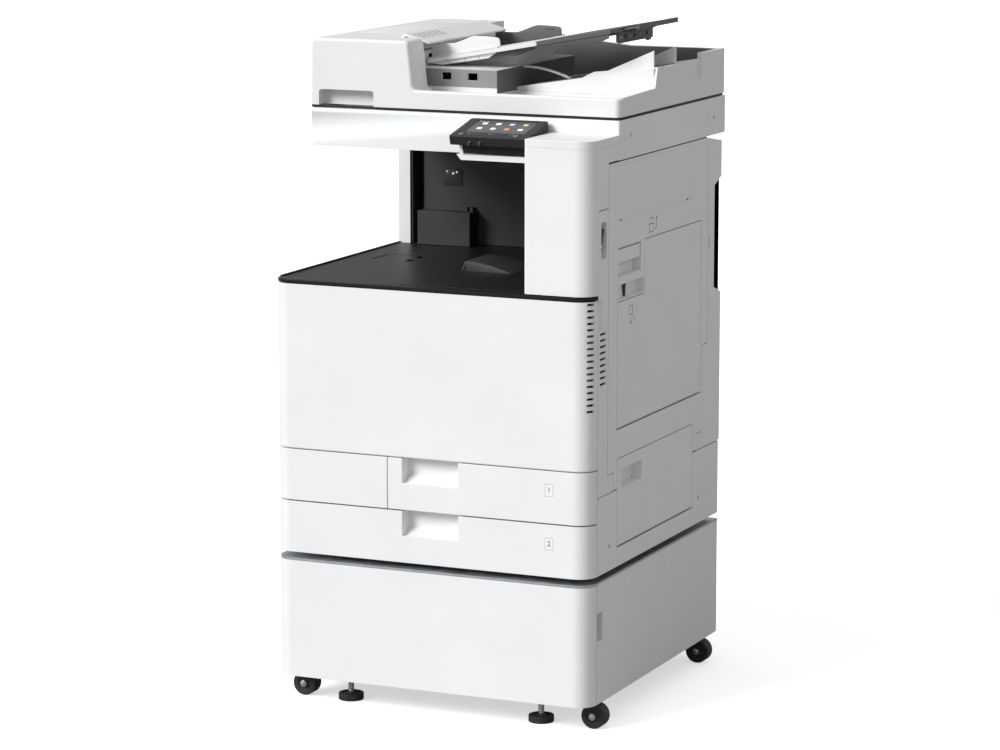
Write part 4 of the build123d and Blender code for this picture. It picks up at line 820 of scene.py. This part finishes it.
# ---- Casters and levelling feet ----------------------------------------------------------------------------
def caster_wheel(place):
    """A tyre with round shoulders and a sunken hub on each side."""
    node = "caster_wheel_" + place
    low, high = span(node)
    centre = (low + high) / 2
    radius = (high.z - low.z) / 2
    along_y = high.y - low.y < high.x - low.x
    half = (high.y - low.y) / 2 if along_y else (high.x - low.x) / 2
    reach = Vector((0, half, 0)) if along_y else Vector((half, 0, 0))
    wheel = new_rod(node + ".tyre", centre - reach, centre + reach, radius, 64)
    with editing(wheel):
        select_faces(wheel, lambda c, normal: abs(normal.y if along_y else normal.x) > 0.9)
        bpy.ops.mesh.inset(thickness=radius * 0.42 * MM, depth=0)
        bpy.ops.mesh.inset(thickness=0.8 * MM, depth=-2.2 * MM)
        bpy.ops.mesh.inset(thickness=radius * 0.2 * MM, depth=1.2 * MM)
    soften(wheel, sizes().tyre_shoulder / MM, 4, 60.0)
    fitted(wheel, body_of(node), finish("tyre_black"))
    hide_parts(node)
    return centre, reach


def bolt(name, centre, outward, body):
    """A domed bolt head with a washer under it."""
    tip = centre + outward.normalized() * 2.4
    foot = centre - outward.normalized() * 0.4
    head = soften(new_rod("head", foot, tip, 3.6, 32), 1.2, 3)
    washer = soften(new_rod("washer", foot, centre + outward.normalized() * 0.7, 5.6, 32), 0.25)
    fitted(joined([head, washer], name), body, finish("pin_steel"))


class COPIER_OT_casters(Operator):
    """Shape the four casters' tyres and put bolt heads on their forks."""
    bl_idname = "copier.casters"
    bl_label = "Casters"

    def execute(self, context):
        for place in ("front_right", "front_left", "rear_right", "rear_left"):
            centre, reach = caster_wheel(place)
            fork = "caster_fork_" + place
            low, high = span(fork)
            along_y = reach.y > reach.x
            side = Vector((0, 1, 0)) if along_y else Vector((1, 0, 0))
            edges = (low.y, high.y) if along_y else (low.x, high.x)
            middle = centre.y if along_y else centre.x
            wheel_half = reach.length
            for i, sign in enumerate((-1, 1)):
                outer = middle + sign * (wheel_half + 3.1)
                if not edges[0] - 0.5 <= outer <= edges[1] + 0.5:
                    continue
                seat = Vector((centre.x, outer, centre.z)) if along_y else Vector((outer, centre.y, centre.z))
                bolt(f"{fork}.bolt_{i}", seat, side * sign, body_of(fork))
        return {"FINISHED"}


class COPIER_OT_levelling_feet(Operator):
    """Shape the two levelling feet: dished pad, threaded stem and nut."""
    bl_idname = "copier.levelling_feet"
    bl_label = "Levelling feet"

    def execute(self, context):
        for side in ("left", "right"):
            node = "levelling_foot_" + side
            low, high = span(node)
            x, y = (low.x + high.x) / 2, (low.y + high.y) / 2
            radius = (high.x - low.x) / 2
            body = body_of(node)
            pad = new_rod(node + ".pad", (x, y, 0), (x, y, 11), radius, 64)
            with editing(pad):
                select_faces(pad, lambda c, normal: normal.z > 0.9)
                bpy.ops.mesh.inset(thickness=2.2 * MM, depth=0)
                bpy.ops.mesh.inset(thickness=6.0 * MM, depth=-2.4 * MM)
                bpy.ops.mesh.inset(thickness=5.5 * MM, depth=2.8 * MM)
            fitted(soften(pad, 0.9, 3), body, finish("foot_black"))
            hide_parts(node)
            rings = [soften(new_rod("thread", (x, y, z), (x, y, z + 1.5), 4.8, 32), 0.5)
                     for z in [13.5 + 1.5 * i for i in range(23)]]
            core = new_rod("core", (x, y, 9), (x, y, 49.3), 4.4, 32)
            nut = soften(new_rod("nut", (x, y, 38.0), (x, y, 43.5), 7.6, 6), 0.5)
            fitted(joined([core, nut] + rings, node + ".stem"), body, finish("pin_steel"))
        return {"FINISHED"}


# ---- Right side --------------------------------------------------------------------------------------------
def side_sign(name, strokes, body, width=1.0):
    """A printed pictogram on the right side, made of thin straight strokes from (y, z) to (y, z)."""
    parts = []
    for (y0, z0), (y1, z1) in strokes:
        run = Vector((y1 - y0, z1 - z0))
        across = Vector((-run.y, run.x)).normalized() * width / 2
        corners = [(y0 - across.x, z0 - across.y), (y1 - across.x, z1 - across.y),
                   (y1 + across.x, z1 + across.y), (y0 + across.x, z0 + across.y)]
        parts.append(new_plate("stroke", corners, "X", HALF - 0.3, HALF + 0.05))
    fitted(joined(parts, name), body, finish("print_black"))


def box_strokes(y0, y1, z0, z1, lean=0.0):
    """Four strokes round a leaning rectangle."""
    corners = [(y0, z0), (y1, z0), (y1 + lean, z1), (y0 + lean, z1)]
    return [(corners[i], corners[(i + 1) % 4]) for i in range(4)]


class COPIER_OT_right_side(Operator):
    """Add the door pictograms, panel catches, pocket details, painted-shadow strips and switch marks of the
    right side.
    """
    bl_idname = "copier.right_side"
    bl_label = "Right side details"

    def execute(self, context):
        case = box_strokes(248, 268, 788, 801)
        case += [((252, 801), (252, 811)), ((252, 811), (262, 811)), ((262, 811), (268, 805))]
        arrow = [((274, 790), (280, 796)), ((280, 796), (280, 810)), ((276, 806), (280, 811)),
                 ((280, 811), (284, 806))]
        side_sign("door_sign", case + arrow, "right_door", 1.1)
        sheet = box_strokes(164, 176, 664, 678, 2.0)
        sheet += [((170, 660), (170, 648)), ((166, 653), (170, 648)), ((170, 648), (174, 653)),
                  ((180, 662), (184, 650))]
        side_sign("bypass_sign", sheet, "bypass_tray", 1.1)
        for i, y in enumerate((124.0, 420.0)):
            catch = new_rod(f"panel_catch_{i}", (HALF - 0.7, y, 822.6), (HALF + 0.05, y, 822.6), 2.2, 24)
            fitted(soften(catch, 0.2), "right_door", finish("seal_black"))
        strip = [(160, 717), (172, 717), (170, 694), (164, 694)]
        fitted(soften(new_plate("pocket_strip", strip, "X", 271, 272.6), 0.3), "right_door",
               finish("seal_black"))
        ledge = [(116, 733), (150, 733), (150, 742), (146, 748), (116, 748)]
        fitted(soften(new_plate("latch_ledge", ledge, "X", 268, 273.5), 0.8), "right_door",
               finish("white_cover"))
        self.seals()
        self.switch()
        return {"FINISHED"}

    def seals(self):
        """Black strips of painted shadow, standing for the shadow in the gaps above the door and under the
        feeder.
        """
        door_low, door_high = span("right_door")
        # A black strip above the door: painted shadow in the gap between the scanner and the door.
        strip = new_block("door_painted_shadow", (HALF - 9, door_low.y + 1, door_high.z - 1.5),
                          (HALF - 1.2, door_high.y - 8, door_high.z + 1.6))
        fitted(soften(strip, 0.3), "root", finish("seal_black"))
        # A black frame under the feeder's edge: painted shadow in the gap between the feeder and the scanner.
        low, high = span("feeder_base")
        x0, x1, y0, y1 = low.x + 1.5, high.x - 1.5, low.y + 1.5, high.y - 16
        z0, z1 = 983.2, 987.2
        bars = [((x0, y0, z0), (x1, y0 + 5, z1)), ((x0, y0 + 5, z0), (x0 + 5, y1, z1)),
                ((x1 - 5, y0 + 5, z0), (x1, y1, z1)), ((x0, y1, z0), (x1, y1 + 5, z1))]
        parts = [soften(new_block("bar", a, b), 0.5) for a, b in bars]
        fitted(joined(parts, "feeder_painted_shadow"), "feeder", finish("seal_black"))

    def switch(self):
        """The on mark of the mains switch."""
        low, high = span("power_switch")
        y = (low.y + high.y) / 2
        bar = new_plate("switch_on_mark", rounded_outline(y - 0.5, y + 0.5, low.z + 6, low.z + 11, 0.4), "X",
                        high.x - 2.2, high.x - 1.35)
        fitted(bar, "power_switch", finish("icon_white"))


# ---- Rear side ---------------------------------------------------------------------------------------------
class COPIER_OT_rear_side(Operator):
    """Fit the rear wall's port plates, screws, lifting grips and the inlet's frame."""
    bl_idname = "copier.rear_side"
    bl_label = "Rear side details"

    def execute(self, context):
        _, high = span("rear_cover")
        back = high.y
        ports = new_plate("port_plate", rounded_outline(-50, 36, 588, 622, 3), "Y", back - 1.6, back - 0.1)
        fitted(soften(ports, 0.5), "root", finish("board_metal"))
        for i in range(3):
            x = -33 + 22 * i
            mouth = rounded_outline(x - 7.5, x + 7.5, 597, 611, 1.2)
            hood = new_plate(f"port_{i}", mouth, "Y", back - 5, back - 0.05)
            with editing(hood):
                select_faces(hood, lambda c, normal: normal.y > 0.9)
                bpy.ops.mesh.inset(thickness=1.2 * MM, depth=0)
                bpy.ops.mesh.inset(thickness=0.2 * MM, depth=-3.6 * MM)
            fitted(hood, "root", finish("inlet_black"))
        inlet_low, inlet_high = span("power_inlet")
        x0, x1, z0, z1 = inlet_low.x - 6, inlet_high.x + 6, inlet_low.z - 5, inlet_high.z + 5
        ring = new_plate("inlet_frame", rounded_outline(x0, x1, z0, z1, 3), "Y", back - 1.2, back - 0.1)
        with editing(ring):
            select_faces(ring, lambda c, normal: abs(normal.y) > 0.9)
            bpy.ops.mesh.inset(thickness=5.0 * MM, depth=0)
            bpy.ops.mesh.delete(type="FACE")
        with editing(ring):
            bpy.ops.mesh.select_all(action="SELECT")
            bpy.ops.mesh.normals_make_consistent(inside=False)
        fitted(ring, "root", finish("inlet_black"))
        for i, (x, z) in enumerate([(sx * 262, z) for sx in (-1, 1) for z in (275, 420, 560, 630)]):
            self.screw(f"rear_screw_{i}", x, back, z)
        for side, x in (("left", -170), ("right", 170)):
            rim = rounded_outline(x - 55, x + 55, 380, 412, 8)
            cup = new_plate(f"lifting_grip_{side}", rim, "Y", back - 1.2, back - 0.15)
            with editing(cup):
                select_faces(cup, lambda c, normal: normal.y > 0.9)
                bpy.ops.mesh.inset(thickness=4.0 * MM, depth=0)
                bpy.ops.mesh.inset(thickness=1.0 * MM, depth=-0.9 * MM)
            fitted(soften(cup, 0.4), "root", finish("unit_black"))
        return {"FINISHED"}

    def screw(self, name, x, back, z):
        """A pan-head screw with a cross cut in its head."""
        head = soften(new_rod("head", (x, back - 1.6, z), (x, back - 0.1, z), 3.6, 28), 0.6, 3)
        cross = [new_block("cut", (x - a, back - 0.9, z - b), (x + a, back - 0.04, z + b)) for a, b in
                 ((2.2, 0.45), (0.45, 2.2))]
        for piece in cross:
            fitted(piece, "root", finish("seal_black"))
        fitted(head, "root", finish("pin_steel"))
        joined(cross, name + ".cross")
        head.name = name


# ---- Inside the front cover --------------------------------------------------------------------------------
class COPIER_OT_engine_front(Operator):
    """Give the toner bottles their colour caps and the drum units their green grips."""
    bl_idname = "copier.engine_front"
    bl_label = "Engine front details"

    def execute(self, context):
        low, high = span("toner_bottles")
        pitch = (high.x - low.x - 58) / 3
        for i, name in enumerate(("yellow_cap", "magenta_cap", "cyan_cap", "black_cap")):
            x = low.x + 29 + pitch * i
            cap = new_rod(f"toner_cap_{i}", (x, 48.5, 652), (x, 59.6, 652), 22, 48)
            with editing(cap):
                select_faces(cap, lambda c, normal: normal.y < -0.9)
                bpy.ops.mesh.inset(thickness=4 * MM, depth=0)
                bpy.ops.mesh.inset(thickness=1 * MM, depth=-2 * MM)
            fitted(soften(cap, 1.0, 3), "root", finish(name))
            grip = new_block(f"drum_grip_{i}", (x - 14, 43, 524), (x + 14, 48.5, 534))
            fitted(soften(grip, 2.0, 3), "root", finish("green_grip"))
        return {"FINISHED"}


# ---- Stage -------------------------------------------------------------------------------------------------
FLOOR_LIGHT = 0.6          # the floor's own light towards the camera, which keeps its shadow faint
FLOOR_BOUNCE = 0.35        # how much light the floor throws back on the machine
SUN_TOWARDS = (-0.55, -0.80, 0.62)
CAMERA_AZIMUTH = 24.023
CAMERA_PITCH = -9.899
CAMERA_LENS = 130.27
CAMERA_PLACE = spot(2443.57, -5198.89, 1573.34)


class COPIER_OT_stage(Operator):
    """Lay a plain pale floor and set the soft lights and the camera."""
    bl_idname = "copier.stage"
    bl_label = "Stage"

    def execute(self, context):
        self.floor()
        self.lights(context.scene)
        self.camera(context.scene)
        context.scene.view_settings.view_transform = "Standard"
        return {"FINISHED"}

    def floor(self):
        clear_selection()
        bpy.ops.mesh.primitive_plane_add(size=160, location=(0, 0, -0.0005))
        floor = settle(bpy.context.object, "floor")
        material, tree, bsdf, coords = shader("floor_paper")
        cloud = noise(tree, coords, 0.6, 2.0)
        tone = shades(tree, cloud, (0.92, 0.92, 0.92), (0.96, 0.96, 0.96))
        tree.links.new(tone, bsdf.inputs["Base Color"])
        bsdf.inputs["Roughness"].default_value = 0.9
        bsdf.inputs["Specular IOR Level"].default_value = 0.0
        tree.links.new(tone, bsdf.inputs["Emission Color"])
        bsdf.inputs["Emission Strength"].default_value = FLOOR_LIGHT
        dim = tree.nodes.new("ShaderNodeBsdfDiffuse")
        dim.inputs["Color"].default_value = (FLOOR_BOUNCE, FLOOR_BOUNCE, FLOOR_BOUNCE, 1)
        mix = tree.nodes.new("ShaderNodeMixShader")
        path = tree.nodes.new("ShaderNodeLightPath")
        tree.links.new(path.outputs["Is Camera Ray"], mix.inputs["Fac"])
        tree.links.new(dim.outputs["BSDF"], mix.inputs[1])
        tree.links.new(bsdf.outputs["BSDF"], mix.inputs[2])
        tree.links.new(mix.outputs["Shader"], tree.nodes["Material Output"].inputs["Surface"])
        floor.data.materials.append(material)

    def lights(self, scene):
        world = bpy.data.worlds.new("studio")
        scene.world = world
        world.use_nodes = True
        tree = world.node_tree
        soft = tree.nodes["Background"]
        soft.inputs["Color"].default_value = (0.97, 0.985, 1.0, 1)
        soft.inputs["Strength"].default_value = 0.5
        white = tree.nodes.new("ShaderNodeBackground")
        white.inputs["Strength"].default_value = 1.0
        white.inputs["Color"].default_value = (1, 1, 1, 1)
        mix = tree.nodes.new("ShaderNodeMixShader")
        path = tree.nodes.new("ShaderNodeLightPath")
        tree.links.new(path.outputs["Is Camera Ray"], mix.inputs["Fac"])
        tree.links.new(soft.outputs["Background"], mix.inputs[1])
        tree.links.new(white.outputs["Background"], mix.inputs[2])
        tree.links.new(mix.outputs["Shader"], tree.nodes["World Output"].inputs["Surface"])
        self.sun("key", SUN_TOWARDS, 2.85, 0.5)

    def sun(self, name, towards, strength, angle):
        clear_selection()
        bpy.ops.object.light_add(type="SUN", location=Vector(towards) * 4)
        lamp = bpy.context.object
        lamp.name = name
        lamp.rotation_euler = Vector(towards).to_track_quat("Z", "Y").to_euler()
        lamp.data.energy = strength
        lamp.data.angle = angle

    def camera(self, scene):
        clear_selection()
        bpy.ops.object.camera_add(location=CAMERA_PLACE,
                                  rotation=(math.radians(90 + CAMERA_PITCH), 0, math.radians(CAMERA_AZIMUTH)))
        camera = bpy.context.object
        camera.data.lens = CAMERA_LENS
        camera.data.sensor_width = 36
        camera.data.clip_end = 300
        scene.camera = camera


# ---- Panel, registration and the run -----------------------------------------------------------------------
STEPS = [COPIER_OT_stage, COPIER_OT_finishes, COPIER_OT_covers, COPIER_OT_drawer_numbers,
         COPIER_OT_control_panel, COPIER_OT_delivery_area, COPIER_OT_feeder, COPIER_OT_casters,
         COPIER_OT_levelling_feet, COPIER_OT_right_side, COPIER_OT_rear_side, COPIER_OT_engine_front]


class COPIER_PT_tools(Panel):
    bl_idname = "COPIER_PT_tools"
    bl_label = "Office Photocopier"
    bl_space_type = "VIEW_3D"
    bl_region_type = "UI"
    bl_category = "Copier"

    def draw(self, context):
        for group in (context.scene.copier_colours, context.scene.copier_sizes):
            for name in group.__annotations__:
                self.layout.prop(group, name)
        for step in STEPS:
            self.layout.operator(step.bl_idname)


CLASSES = [CopierColours, CopierSizes, *STEPS, COPIER_PT_tools]


def register():
    for item in CLASSES:
        bpy.utils.register_class(item)
    bpy.types.Scene.copier_colours = PointerProperty(type=CopierColours)
    bpy.types.Scene.copier_sizes = PointerProperty(type=CopierSizes)


def unregister():
    del bpy.types.Scene.copier_sizes
    del bpy.types.Scene.copier_colours
    for item in reversed(CLASSES):
        bpy.utils.unregister_class(item)


def main():
    register()
    for step in STEPS:
        group, name = step.bl_idname.split(".")
        getattr(getattr(bpy.ops, group), name)()


if __name__ == "__main__":
    main()
